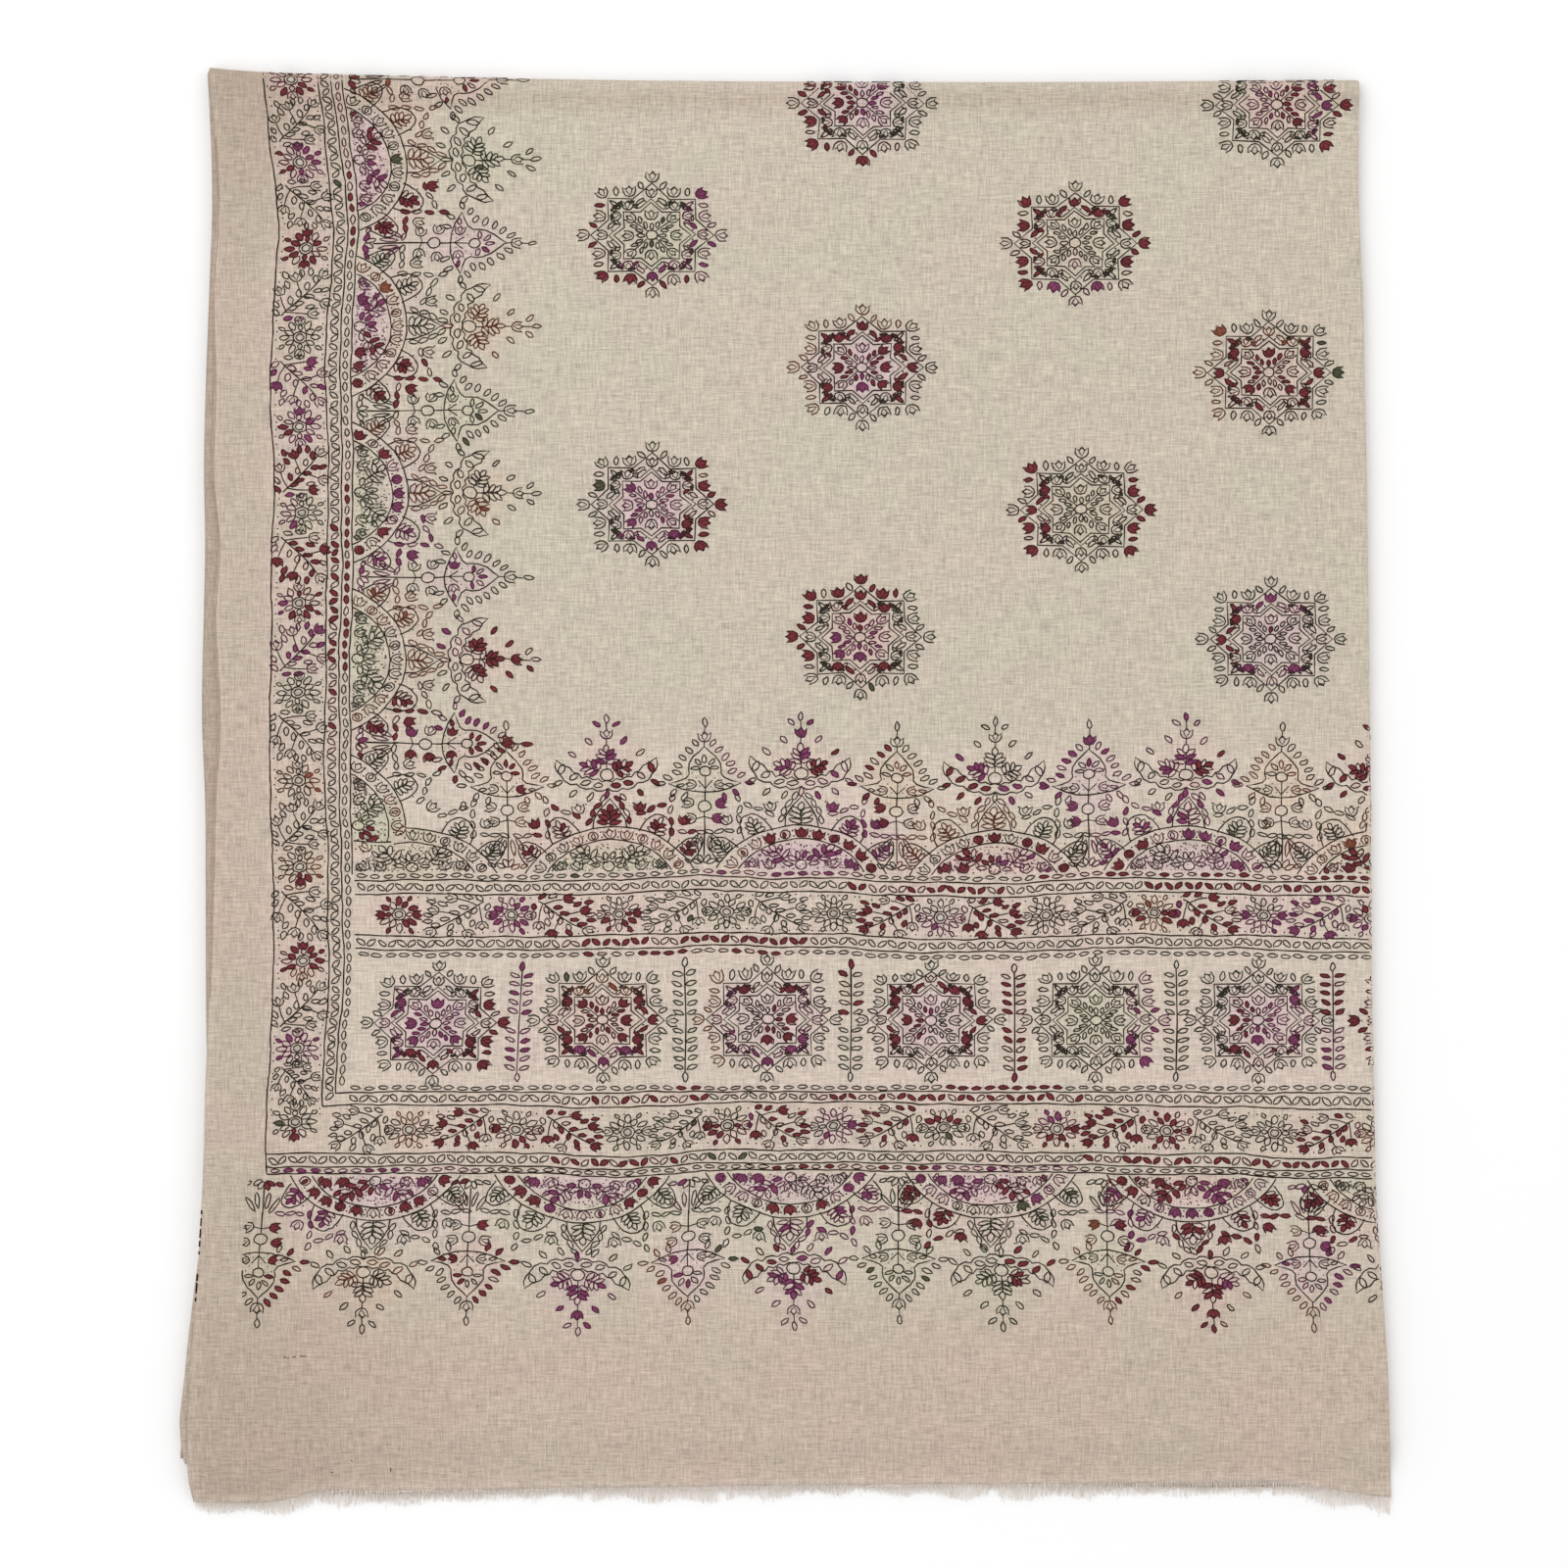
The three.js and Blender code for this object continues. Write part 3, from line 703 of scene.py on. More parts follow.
def scrollBand(work, x, y, turn, flowers, gaps, broad=1):
    # flowers and gaps name the threads along the band; every second spray is turned round and mirrored
    place = placeAt(x, y, turn)
    for at, names in flowers:
        flower(work, place, 0, at, names)
    for k, names in enumerate(gaps):
        a, b = flowers[k][0], flowers[k + 1][0]
        up = k % 2 == 1
        middle = (a + b) / 2
        here = within(place, 0, middle, 0 if up else 180, abs(b - a) / 90, 1 if up else -1)
        here[:, 0] *= broad
        spray(work, here, names)
        for side in (-1, 1):
            for s in np.arange(min(a, b) + 6, max(a, b), 9.0):
                out = side * (20.5 + rng.uniform(-1.5, 0.5)) * broad
                dot(work, place, out, s + rng.uniform(-3, 3), outlineThread)


def runAt(runs, s):
    for until, name in runs:
        if s < until:
            return name
    return runs[-1][1]


def leafRow(work, x, y, turn, length, runs, pitch=16.8):
    place = placeAt(x, y, turn)
    count = int(length / pitch)
    for k in range(count):
        s = (k + 0.5) * pitch
        style = threads[runAt(runs, s)]
        for side in (-1, 1):
            leaf(work, place, 0, s + side * 4.2, 90 - side * 46, style, 9.2, 4.4)


def dashRow(work, x, y, turn, length, runs, pitch=11.4):
    place = placeAt(x, y, turn)
    for k in range(int(length / pitch)):
        s = (k + 0.5) * pitch
        leaf(work, place, 0, s, 0, threads[runAt(runs, s)], 9, 3.7, smallLeafOutline)


def ruled(work, x, y, turn, length):
    # a long single line of stem stitch
    place = placeAt(x, y, turn)
    phase, sway = rng.uniform(0, 6), 0.5
    s = np.arange(0, length + 3, 6.0)
    thread(work, place, np.stack([sway * np.sin(s / 31 + phase), s], 1), outlineThread, width=1.05)


def arcLine(half, height, count, share=1.0):
    r = (half * half + height * height) / (2 * height)
    end = math.asin(half / r) * share
    a = np.linspace(-end, end, count)
    return np.stack([r * np.sin(a), height - r + r * np.cos(a)], 1), a


def dome(work, place, x, y, turn, style, width=24, height=21):
    here = within(place, x, y, turn)
    t = np.linspace(0, 1, 9)
    side = np.stack([width / 2 * np.cos(t * math.pi / 2) ** 0.8, height * np.sin(t * math.pi / 2)], 1)
    thread(work, here, np.vstack([side, side[-2::-1] * [-1, 1]]), outlineThread)
    palm(work, here, 0, 1, 0, style, height * 0.86, 3)


def archUnit(work, place, colors, whole=True):
    # one scallop on its base line, outwards along y
    ringNames, innerNames, domeNames = colors
    if whole:
        for half, height in ((72, 46), (53, 32.5)):
            thread(work, place, arcLine(half, height, 25)[0], outlineThread)
    line, angles = arcLine(62, 38, 11, 0.92)
    for k, ((x, y), a) in enumerate(zip(line, angles)):
        style = styleOf(ringNames, 90 - math.degrees(a) * 1.6)
        if k % 3 == 1:
            fill = style["fill"] if rng.random() < style["solid"] else None
            ring(work, place, x, y, 4.4, style["line"], 9, fill)
            leaf(work, place, x, y, -math.degrees(a), style, 6, 3)
        else:
            bud(work, place, x, y, -math.degrees(a), style, 9.6)
    line, _ = arcLine(62, 38, 21, 0.92)
    for x, y in line[1::2]:
        for out in (0.93, 1.07):
            dot(work, place, x * out, y * out, outlineThread, 2.2)
    ring(work, place, 0, 5.5, 5)
    for a in (-80, -48, -16, 16, 48, 80):
        out, up = math.sin(math.radians(a)) * 11, math.cos(math.radians(a)) * 11
        leaf(work, place, -out, 5 + up, a, styleOf(innerNames, 90 + a), 9, 4.2)
    for side in (-1, 1):
        far = styleOf(innerNames, 90 - 80 * side)
        palm(work, place, side * 13, 10, -side * 42, styleOf(innerNames, 90 - 50 * side), 23, 2)
        bud(work, place, side * 27, 7, -side * 24, styleOf(innerNames, 90 - 70 * side), 10)
        bud(work, place, side * 41, 7, -side * 20, far, 9)
        leaf(work, place, side * 31, 18, -side * 50, far, 8, 3.8)
        leaf(work, place, side * 46, 4, -side * 30, far, 7, 3.4)
    speck = styleOf(innerNames, 90)["line"] * 0.85 + styleOf(innerNames, 90)["dye"] * 0.12
    for _ in range(240):
        x = rng.uniform(-49, 49)
        y = rng.uniform(1.5, 29.5 * (1 - (x / 53) ** 2))
        dot(work, place, x, y, speck, rng.uniform(1.4, 2.5))
    # pointed shapes round it, each with a leaf, and beads of leaves over them
    if whole:
        point = [(-14, 45), (-13, 54), (-8, 64), (0, 75), (8, 64), (13, 54), (14, 45)]
        thread(work, place, point, outlineThread)
        palm(work, place, 0, 46, 0, styleOf(domeNames, 90), 24, 3)
    for side in (-1, 1):
        dome(work, place, side * 37, 35, -side * 24, styleOf(domeNames, 90 - 45 * side), 27, 22)
        dome(work, place, side * 62, 14, -side * 40, styleOf(domeNames, 90 - 85 * side), 21, 21)
        if whole:
            beads(work, place, [(side * 17.5, 48), (side * 14, 62), (side * 3.5, 79)], styleOf(domeNames, 90))
            bud(work, place, side * 26, 65, -side * 10, styleOf(domeNames, 90 - 30 * side), 9.5)
        for line, heading in (
            ([(22, 57), (36, 62), (50, 68)], 45), ([(53, 34), (53, 66)], 55),
            ([(58, 39), (70, 38), (83, 37)], 80),
        ):
            line = [(side * x, y) for x, y in line]
            beads(work, place, line, styleOf(domeNames, 90 - heading * side))
        leaf(work, place, side * 54, 73, -side * 20, styleOf(domeNames, 90 - 50 * side), 9, 4.2)
        bud(work, place, side * 64, 50, -side * 20, styleOf(domeNames, 90 - 70 * side), 9.5)
        for x, y in ((47, 54), (30, 52), (59, 30), (74, 27), (20, 70)):
            dot(work, place, side * x, y, outlineThread, 2.0)


def junction(work, place, names):
    # the small plant between two scallops: a tulip foot, then a fan that closes on the stem
    for a in (-62, -22, 22, 62):
        out, up = math.sin(math.radians(a)) * 7, math.cos(math.radians(a)) * 6
        leaf(work, place, -out, 4 + up, a, styleOf(names, 90 + a), 9, 4.4)
    thread(work, place, [(0, 12), (0, 40)], outlineThread)
    for side in (-1, 1):
        style = styleOf(names, 90 - 50 * side)
        for x, y, turn, length in ((4.2, 25, 10, 16), (9.8, 29, 34, 17)):
            leaf(work, place, side * x, y, side * turn, style, length, 3.6, solid=False)
        leaf(work, place, side * 13.5, 8, -side * 60, style, 7.5, 3.6)


def dropFinial(work, place, outer, inner):
    # a heart-shaped drop on a stem, ringed with small leaves
    thread(work, place, [(0, 36), (0, 58)], outlineThread)
    thread(work, place, [(0, 69), (0, 77)], outlineThread)
    ring(work, place, 0, 63.5, 5.4)
    thread(work, place, [(-7, 51), (0, 53), (7, 51)], outlineThread, width=0.8)
    for side in (-1, 1):
        bud(work, place, side * 11, 51.5, -side * 80, styleOf(outer, 90 - 90 * side), 9)
        bud(work, place, side * 13.5, 67, -side * 70, styleOf(outer, 90 - 90 * side), 9)
    half = [
        (0, 77.5), (10, 78.5), (20, 82), (31, 88), (23, 90), (16.5, 92.5), (13.5, 96.5), (14, 101),
        (13.5, 107), (9.5, 114), (4, 120), (0, 124.5),
    ]
    thread(work, place, half + [(-x, y) for x, y in half[-2:0:-1]], outlineThread, closed=True)
    thread(work, place, [(0, 77), (0, 94)], outlineThread, width=0.8)
    ring(work, place, 0, 98.5, 4.8)
    for a in (-84, -42, 0, 42, 84):
        out, up = math.sin(math.radians(a)) * 8.5, math.cos(math.radians(a)) * 10
        leaf(work, place, -out, 101 + up, a, styleOf(inner, 90 + a), 8.4, 3.4)
    for side in (-1, 1):
        thread(work, place, [(0, 81), (side * 6, 89)], outlineThread, width=0.8)
        bud(work, place, side * 12, 85.5, -side * 80, styleOf(inner, 90 - 90 * side), 8)
        leaf(work, place, side * 21, 85.5, -side * 100, styleOf(inner, 90 - 90 * side), 7, 3)
        for dx, dy in ((4.5, 83), (8, 92), (11, 97), (8, 79.5)):
            dot(work, place, side * dx, dy, outlineThread, 1.6)
        style = styleOf(outer, 90 - 80 * side)
        for x, y, turn in (
            (16.5, 74, -165), (26, 78, -148), (38, 88.5, -92), (31.5, 95, -60), (24, 99.5, -55),
            (22.5, 107, -62), (18.5, 114.5, -55), (13.5, 121.5, -48), (8, 128, -35),
        ):
            leaf(work, place, side * x, y, side * turn, style, 8.8, 4)
    thread(work, place, [(0, 124), (0, 130)], outlineThread, width=0.8)
    thread(work, place, [(0, 138), (0, 145)], outlineThread, width=0.8)
    bud(work, place, 0, 134, 0, styleOf(outer, 90), 10)
    leaf(work, place, 0, 149.5, 0, styleOf(outer, 90), 9.5, 4)


crescent = {
    "edge": [
        (0, 85), (4, 82.5), (9, 82.5), (13, 85.5), (18, 84.5), (23, 86.5), (26, 90.5), (31, 90), (36, 93),
        (38.5, 98), (42, 103), (43.5, 108), (42.5, 115), (37, 110), (31.5, 107.5), (28, 102), (24.5, 101),
        (21.5, 96.5), (17, 97.5), (12, 94), (8, 95), (4, 92), (0, 93),
    ],
    # middle, turn and length
    "cells": [(7.5, 88.5, 95, 9), (18.5, 91, 110, 9), (29, 97.5, 135, 9.5), (38, 105.5, 160, 11)],
}


def crescentFinial(work, place, wings, leaves):
    # a winged crescent of linked cells, with three palms and a sprig
    leaf(work, place, 0, 79.5, 0, styleOf(leaves, 90), 9.5, 3.8)
    for side in (-1, 1):
        style = styleOf(wings, 90 - 90 * side)
        thread(work, place, [(side * x, y) for x, y in crescent["edge"]], outlineThread)
        for x, y, turn, size in crescent["cells"]:
            leaf(work, place, side * x, y, -side * turn, style, size, 4.8)
        for x, y, turn in ((14, 76.5, -150), (29, 80.5, -140), (41.5, 90.5, -125)):
            leaf(work, place, side * x, y, side * turn, style, 9, 4)
        palm(work, place, side * 6, 102, -side * 62, styleOf(leaves, 90 - 60 * side), 20, 3)
        leaf(work, place, side * 29.5, 121, -side * 48, styleOf(leaves, 90 - 60 * side), 9, 4)
        leaf(work, place, side * 15, 134, -side * 40, styleOf(leaves, 90), 9, 4)
        leaf(work, place, side * 8.5, 151, -side * 45, styleOf(leaves, 90), 8.6, 3.8)
    ring(work, place, 0, 98.5, 5.8)
    thread(work, place, [(0, 104), (0, 112)], outlineThread, width=0.8)
    palm(work, place, 0, 108, 0, styleOf(leaves, 90), 22, 3)
    thread(work, place, [(0, 129), (0, 136)], outlineThread, width=0.8)
    bud(work, place, 0, 140, 0, styleOf(leaves, 90), 9.5)
    thread(work, place, [(0, 144), (0, 152)], outlineThread, width=0.8)
    leaf(work, place, 0, 156.5, 0, styleOf(leaves, 90), 9.5, 4)


def ladder(work, x, y, names, height=122):
    # an upright sprig of paired leaves, bare where the medallions' buds come close
    place = placeAt(x, y)
    thread(work, place, [(0, -height / 2 + 8), (0.6, 0), (0, height / 2 - 8)], outlineThread, width=0.9)
    for k in (0, 1, 2, 3, 4, 6, 7, 8, 9, 10):
        s = (k + 0.5) / 11 - 0.5
        for side in (-1, 1):
            leaf(work, place, side * 6, s * (height - 18), -side * 68, styleOf(names, 90 + 170 * s), 9.5, 4)
    leaf(work, place, 0, height / 2 - 4, 0, styleOf(names, 170), 9.5, 4)
    leaf(work, place, 0, -height / 2 + 4, 180, styleOf(names, 10), 9.5, 4)


def fromPhoto(px, py):
    return px - chart["middle"][0], chart["middle"][1] - py


# field medallions
# middle of each in the photo, the threads to its right, top, left and bottom, and the dye that has run
fieldMedallions = [
    # px, py, outer, border, inner, dye, its share
    (665, 240, "plum green wine wine", "plum green green plum", "green bare bare green", "green", 0.35),
    (665, 515, "wine green green green", "wine bare green plum", "plum plum plum bare", "plum", 0.5),
    (880, 105, "green green wine wine", "green wine wine green", "plum plum wine plum", "plum", 0.5),
    (880, 375, "bare rust rust green", "wine wine wine bare", "wine plum wine plum", "plum", 0.6),
    (878, 650, "green wine wine green", "green wine green wine", "plum wine plum plum", "wine", 0.5),
    (1097, 248, "wine green wine plum", "green wine wine bare", "bare green bare plum", "bare", 0.4),
    (1103, 520, "wine bare wine bare", "bare green wine bare", "bare bare green bare", "bare", 0.5),
    (1303, 107, "wine wine green green", "plum wine green green", "wine plum plum bare", "wine", 0.4),
    (1295, 380, "green green rust bare", "wine rust wine wine", "wine wine wine bare", "wine", 0.35),
    (1297, 652, "green green green bare", "bare plum wine plum", "bare wine bare bare", "plum", 0.45),
]
fieldWork = newWork()
for px, py, *colors in fieldMedallions:
    starMedallion(fieldWork, *fromPhoto(px, py), *colors)


# row of medallions
rowMedallions = [
    (445, 1044, "wine green green green", "wine green plum wine", "plum plum plum wine", "plum", 0.5),
    (615, 1041, "green", "wine rust wine plum", "wine wine wine bare", "wine", 0.4),
    (783, 1040, "bare green rust bare", "plum wine plum plum", "wine bare bare wine", "plum", 0.4),
    (950, 1041, "green green bare green", "wine wine wine green", "green plum wine bare", "plum", 0.45),
    (1118, 1041, "plum bare bare bare", "plum bare bare green", "bare green bare bare", "green", 0.45),
    (1284, 1041, "green green green bare", "plum green green wine", "plum wine wine plum", "plum", 0.5),
    (1452, 1041, "wine", "wine plum wine wine", "wine", "wine", 0.5),
]
ladders = [
    (530, "plum"), (699, "green"), (868, "green wine"), (1035, "wine"),
    (1200, "bare green"), (1360, "plum wine"),
]
rowWork = newWork()
for px, py, *colors in rowMedallions:
    starMedallion(rowWork, *fromPhoto(px, py), *colors)
for px, names in ladders:
    x, y = fromPhoto(px, 1042)
    ladder(rowWork, x, y, names)
    tint(x, y, 12, 62, names, 0.2)
print("medallions worked")


# left border
stitch["width"] = stitch["finerWidth"]  # finer thread from here on
borderWork = newWork()
topReach = 745  # where the border ends, round the crosswise fold
for px, foot in ((277, 1197), (333, 1128), (347.5, 1115), (358.5, 893)):
    x, y = fromPhoto(px, foot)
    ruled(borderWork, x, y, 0, topReach - y)
# where each flower is in the photo, and its threads; then the threads of the sprays between them
borderFlowers = [
    (1144, "green bare green wine"), (1070, "plum plum plum bare"),
    (981, "wine wine wine rust"), (885, "rust bare bare wine"),
    (797, "rust bare bare green"), (707, "green"),
    (616, "wine wine plum wine"), (524, "green plum"),
    (436, "plum plum wine plum"), (345, "green bare"), (254, "wine"),
    (166, "plum wine"), (81, "wine wine plum wine"), (-10, "green bare"),
]
borderGaps = [
    "bare green", "bare", "bare rust", "bare green", "bare green",
    "plum", "wine bare", "wine plum", "plum green", "green plum",
    "bare green", "green", "green bare",
]
middleX, start = fromPhoto(305.5, 1122)
scrollBand(
    borderWork, middleX, 0, 0,
    [(fromPhoto(0, py)[1], names) for py, names in borderFlowers], borderGaps,
)
rowRuns = [(350, "bare"), (590, "wine"), (820, "bare"), (1000, "green"), (1200, "bare")]
dashRuns = [(420, "green"), (640, "wine"), (800, "green"), (860, "bare"), (945, "wine"), (1200, "plum")]
leafRow(borderWork, fromPhoto(340.3, 0)[0], start, 0, topReach - start, rowRuns)
dashRow(borderWork, fromPhoto(353, 0)[0], start + 14, 0, topReach - start - 14, dashRuns)
for py, names in borderFlowers:
    x, y = fromPhoto(305, py)
    tint(x, y, 28, 26, names, 0.22)
print("left border worked")


# bands across
def band(work, left, lines, rows, dashes, scroll, flowers, gaps):
    # lines, rows of leaves and dashes in the photo, each with where it starts and its runs of thread
    for py, start in lines:
        x, y = fromPhoto(start, py)
        ruled(work, x, y, -90, (pastFold - x) / chart["wide"])
    for py, start, runs in rows:
        x, y = fromPhoto(start, py)
        leafRow(work, x, y, -90, (pastFold - x) / chart["wide"], runs)
    for py, start, runs in dashes:
        x, y = fromPhoto(start, py)
        dashRow(work, x, y, -90, (pastFold - x) / chart["wide"], runs)
    x, y = fromPhoto(left, scroll)
    along = [((px - left) / chart["wide"], names) for px, names in flowers]
    scrollBand(work, x, y, -90, along, gaps, broad=0.87)
    for px, names in flowers:
        tint(*fromPhoto(px, scroll), 34, 22, names, 0.22)


upperFlowers = [
    (405, "wine"), (520, "plum"), (632, "wine green"),
    (742, "green bare"), (851, "bare green"), (960, "plum green"), (1068, "bare"),
    (1178, "rust wine rust wine"), (1290, "plum bare"), (1400, "plum wine"), (1510, "bare green"),
]
upperGaps = [
    "bare", "wine", "green bare", "green bare", "wine bare",
    "wine plum", "bare", "wine plum", "plum bare", "wine plum",
]
upperWork = newWork()
band(
    upperWork, 361, [(898, 360), (912, 360), (955, 360), (968.5, 360)],
    [(905, 361, [(250, "bare"), (420, "green"), (560, "wine"), (680, "bare"), (900, "wine")]),
     (962, 361, [(170, "bare"), (390, "wine"), (560, "bare"), (640, "green"), (900, "bare")])],
    [(893.5, 361, [(120, "bare"), (300, "green"), (430, "plum"), (580, "green"), (900, "wine")]),
     (974, 361, [(160, "bare"), (380, "wine"), (600, "bare"), (900, "bare")])],
    933.5, upperFlowers, upperGaps,
)

lowerFlowers = [
    (422, "rust bare rust bare"), (530, "wine green"), (640, "green bare"), (742, "wine green"),
    (850, "plum plum plum bare"), (962, "green wine"), (1078, "wine plum"),
    (1190, "wine wine wine bare"), (1300, "bare green"), (1408, "rust bare"), (1516, "bare"),
]
lowerGaps = [
    "wine", "wine bare", "green", "wine plum", "wine bare",
    "bare green", "wine", "bare wine", "wine plum", "wine rust",
]
lowerWork = newWork()
band(
    lowerWork, 361, [(1114.5, 347), (1128, 333), (1177, 277), (1190, 277), (1197.5, 277)],
    [(1121, 361, [(200, "bare"), (300, "wine"), (380, "bare"), (620, "wine"), (900, "bare")])],
    [(1110, 361, [(260, "bare"), (330, "wine"), (500, "bare"), (600, "wine"), (900, "bare")])],
    1152.5, lowerFlowers, lowerGaps,
)
x, y = fromPhoto(279, 1183.5)
leafRow(
    lowerWork, x, y, -90, (pastFold - x) / chart["wide"],
    [(240, "bare"), (350, "wine"), (520, "green"), (690, "bare"), (900, "wine")],
)
x, y = fromPhoto(279, 1194)
dashRow(
    lowerWork, x, y, -90, (pastFold - x) / chart["wide"],
    [(180, "plum"), (420, "bare"), (560, "wine"), (680, "plum"), (900, "bare")],
)
corner = placeAt(*fromPhoto(367, 1152.5), -90)
spray(lowerWork, within(corner, 0, 2, 180, 0.95, -1), "bare")
for x, y, reachX, reachY in (
    (-486, 150, 52, 700), (80, -127, 660, 44), (60, -350, 700, 48), (80, -62, 640, 34),
):
    tint(x, y, reachX, reachY, "wine", 0.16)
print("bands worked")


# scallops and finials
# along the line: each scallop's middle, its ring, inner and dome threads, and the dye
def tintAlong(place, out, wide, tall, names, share):
    x, y = place @ [0, out, 1]
    reachX, reachY = np.abs(place[:, :2] @ [wide, 0]) + np.abs(place[:, :2] @ [0, tall])
    tint(x, y, reachX, reachY, names, share)


def scallops(work, placeOf, units, finials):
    for at, ringNames, innerNames, domeNames, dye in units:
        place = placeOf(at)
        archUnit(work, place, (ringNames, innerNames, domeNames))
        tintAlong(place, 14, 50, 16, dye, 0.55)
        tintAlong(place, 40, 80, 30, domeNames, 0.2)
    for kind, at, first, second in finials:
        place = placeOf(at)
        if kind == "drop":
            junction(work, place, second)
            dropFinial(work, place, first, second)
            tintAlong(place, 92, 26, 34, second, 0.35)
        else:
            crescentFinial(work, place, first, second)
            tintAlong(place, 108, 26, 34, second, 0.25)


leftUnits = [
    # py, ring, inner, domes, dye
    (673, "rust bare rust green", "green", "wine rust wine", "green"),
    (503, "wine plum wine wine", "green bare", "plum rust green", "green"),
    (333, "wine rust rust wine", "wine plum wine", "wine green wine", "plum"),
    (163, "green green bare green", "plum wine", "wine rust wine", "plum"),
    (-7, "green plum", "green bare", "green wine", "green"),
]
leftFinials = [
    ("crescent", 673, "bare plum", "wine"),
    ("drop", 589, "green", "plum"),
    ("crescent", 503, "green bare", "rust bare rust"),
    ("drop", 419, "green bare", "green"),
    ("crescent", 333, "bare", "rust"),
    ("drop", 248, "bare", "plum"),
    ("crescent", 163, "bare", "green green plum"),
    ("drop", 81, "bare wine", "wine"),
    ("crescent", -7, "green bare", "green"),
]
baseX = fromPhoto(359.5, 0)[0]


def onLeft(py):
    return placeAt(baseX, fromPhoto(0, py)[1], -90)


leftWork = newWork()
scallops(leftWork, onLeft, leftUnits, leftFinials)

upperUnits = [
    (622, "rust rust bare rust", "green", "wine wine green", "green"),
    (818, "wine wine rust plum", "plum", "plum green wine", "plum"),
    (1015, "wine wine green wine", "plum wine", "green rust wine", "wine"),
    (1213, "plum plum wine plum", "plum bare", "green plum green", "plum"),
    (1410, "green rust", "wine", "rust green", "green"),
]
upperFinials = [
    ("crescent", 619, "wine bare", "wine plum plum"),
    ("drop", 719, "plum bare", "green"),
    ("crescent", 817, "plum bare", "wine plum wine"),
    ("drop", 915, "bare wine", "rust bare"),
    ("crescent", 1015, "plum wine", "bare plum"),
    ("drop", 1111, "plum", "plum bare"),
    ("crescent", 1210, "plum bare", "wine plum plum"),
    ("drop", 1308, "bare rust", "rust green"),
    ("crescent", 1405, "wine", "wine"),
]


def onUpper(px):
    return placeAt(*fromPhoto(px, 890), 0)


upperArchWork = newWork()
scallops(upperArchWork, onUpper, upperUnits, upperFinials)

# the inner corner, where the two lines of scallops meet on a slant
cornerX, cornerY = fromPhoto(398, 859)


def pastSlant(x, y):
    return y - cornerY - np.maximum(x - cornerX, 0) * 0.84


def cornerArcs(place):
    for half, height in ((72, 45), (53, 31)):
        thread(upperArchWork, place, arcLine(half, height, 41)[0], outlineThread)


window["keep"] = lambda x, y: pastSlant(x, y) > 0
archUnit(upperArchWork, onLeft(843), ("rust rust bare rust", "wine green", "plum green green"), False)
cornerArcs(onLeft(843))
window["keep"] = lambda x, y: pastSlant(x, y) < 0 and x > baseX + 1
archUnit(upperArchWork, onUpper(420), ("bare rust", "bare", "green bare"), False)
window["keep"] = lambda x, y: pastSlant(x, y) < 0 and x > cornerX
cornerArcs(onUpper(420))
window["keep"] = None
baseLine = [((baseX + k * 13) / chart["wide"], cornerY) for k in range(4)]
thread(upperArchWork, placeAt(0, 0), baseLine, outlineThread)
leaf(upperArchWork, placeAt(*fromPhoto(409, 848), -45), 0, 0, 0, threads["rust"], 13, 5)
bud(upperArchWork, placeAt(*fromPhoto(442, 823), -45), 0, 0, 0, threads["bare"], 10)
leaf(upperArchWork, placeAt(*fromPhoto(474, 822), -10), 0, 0, 0, threads["bare"], 10, 4.5)
for place, outer, inner in (
    (onLeft(758), "wine plum", "wine"), (onUpper(518), "rust bare", "wine bare"),
):
    junction(upperArchWork, place, outer)
    dropFinial(upperArchWork, place, outer, inner)
for px, py, reach, name, share in (
    (385, 843, 24, "green", 0.7), (425, 876, 34, "bare", 0.5), (482, 759, 26, "wine", 0.3),
    (518, 790, 24, "rust", 0.2),
):
    tint(*fromPhoto(px, py), reach * 1.1, reach, name, share)

lowerUnits = [
    (388, "wine wine wine plum", "wine plum", "plum green wine", "plum"),
    (596, "wine plum wine wine", "plum", "green green plum", "plum"),
    (806, "plum wine plum plum", "plum bare", "green plum green", "plum"),
    (1010, "plum green plum wine", "plum wine", "wine green rust", "plum"),
    (1215, "wine plum plum wine", "wine plum", "plum wine green", "wine"),
    (1420, "rust green", "bare green", "wine green", "green"),
]
lowerFinials = [
    ("drop", 275, "bare wine", "bare wine"),
    ("crescent", 381, "bare rust", "rust bare green"),
    ("drop", 486, "bare wine", "wine bare bare"),
    ("crescent", 592, "green", "plum"),
    ("drop", 703, "rust green", "plum bare"),
    ("crescent", 810, "wine plum", "plum wine"),
    ("drop", 916, "green", "green"),
    ("crescent", 1020, "green wine", "green wine"),
    ("drop", 1128, "rust wine", "green rust"),
    ("crescent", 1232, "green bare", "wine plum"),
    ("drop", 1333, "rust plum", "plum bare"),
    ("crescent", 1430, "bare green", "bare green"),
]


def onLower(px):
    return placeAt(*fromPhoto(px, 1199.5), 180)


lowerArchWork = newWork()
window["keep"] = lambda x, y: x > fromPhoto(257, 0)[0]
scallops(lowerArchWork, onLower, lowerUnits, lowerFinials)
window["keep"] = None
print("scallops worked")


# cloth
# left, bottom and corner are painted shade: the cloth drawn darker towards its left edge, its bottom and its
# corners and under the crosswise fold; inside is painted shade on the layers that lie beneath the front
clothTones = {
    "middle": linear(198, 187, 171), "left": linear(190, 174, 159), "bottom": linear(193, 175, 160),
    "corner": linear(176, 158, 143), "inside": linear(180, 163, 147), "worn": linear(208, 193, 181),
    "worked": linear(208, 193, 180),
}


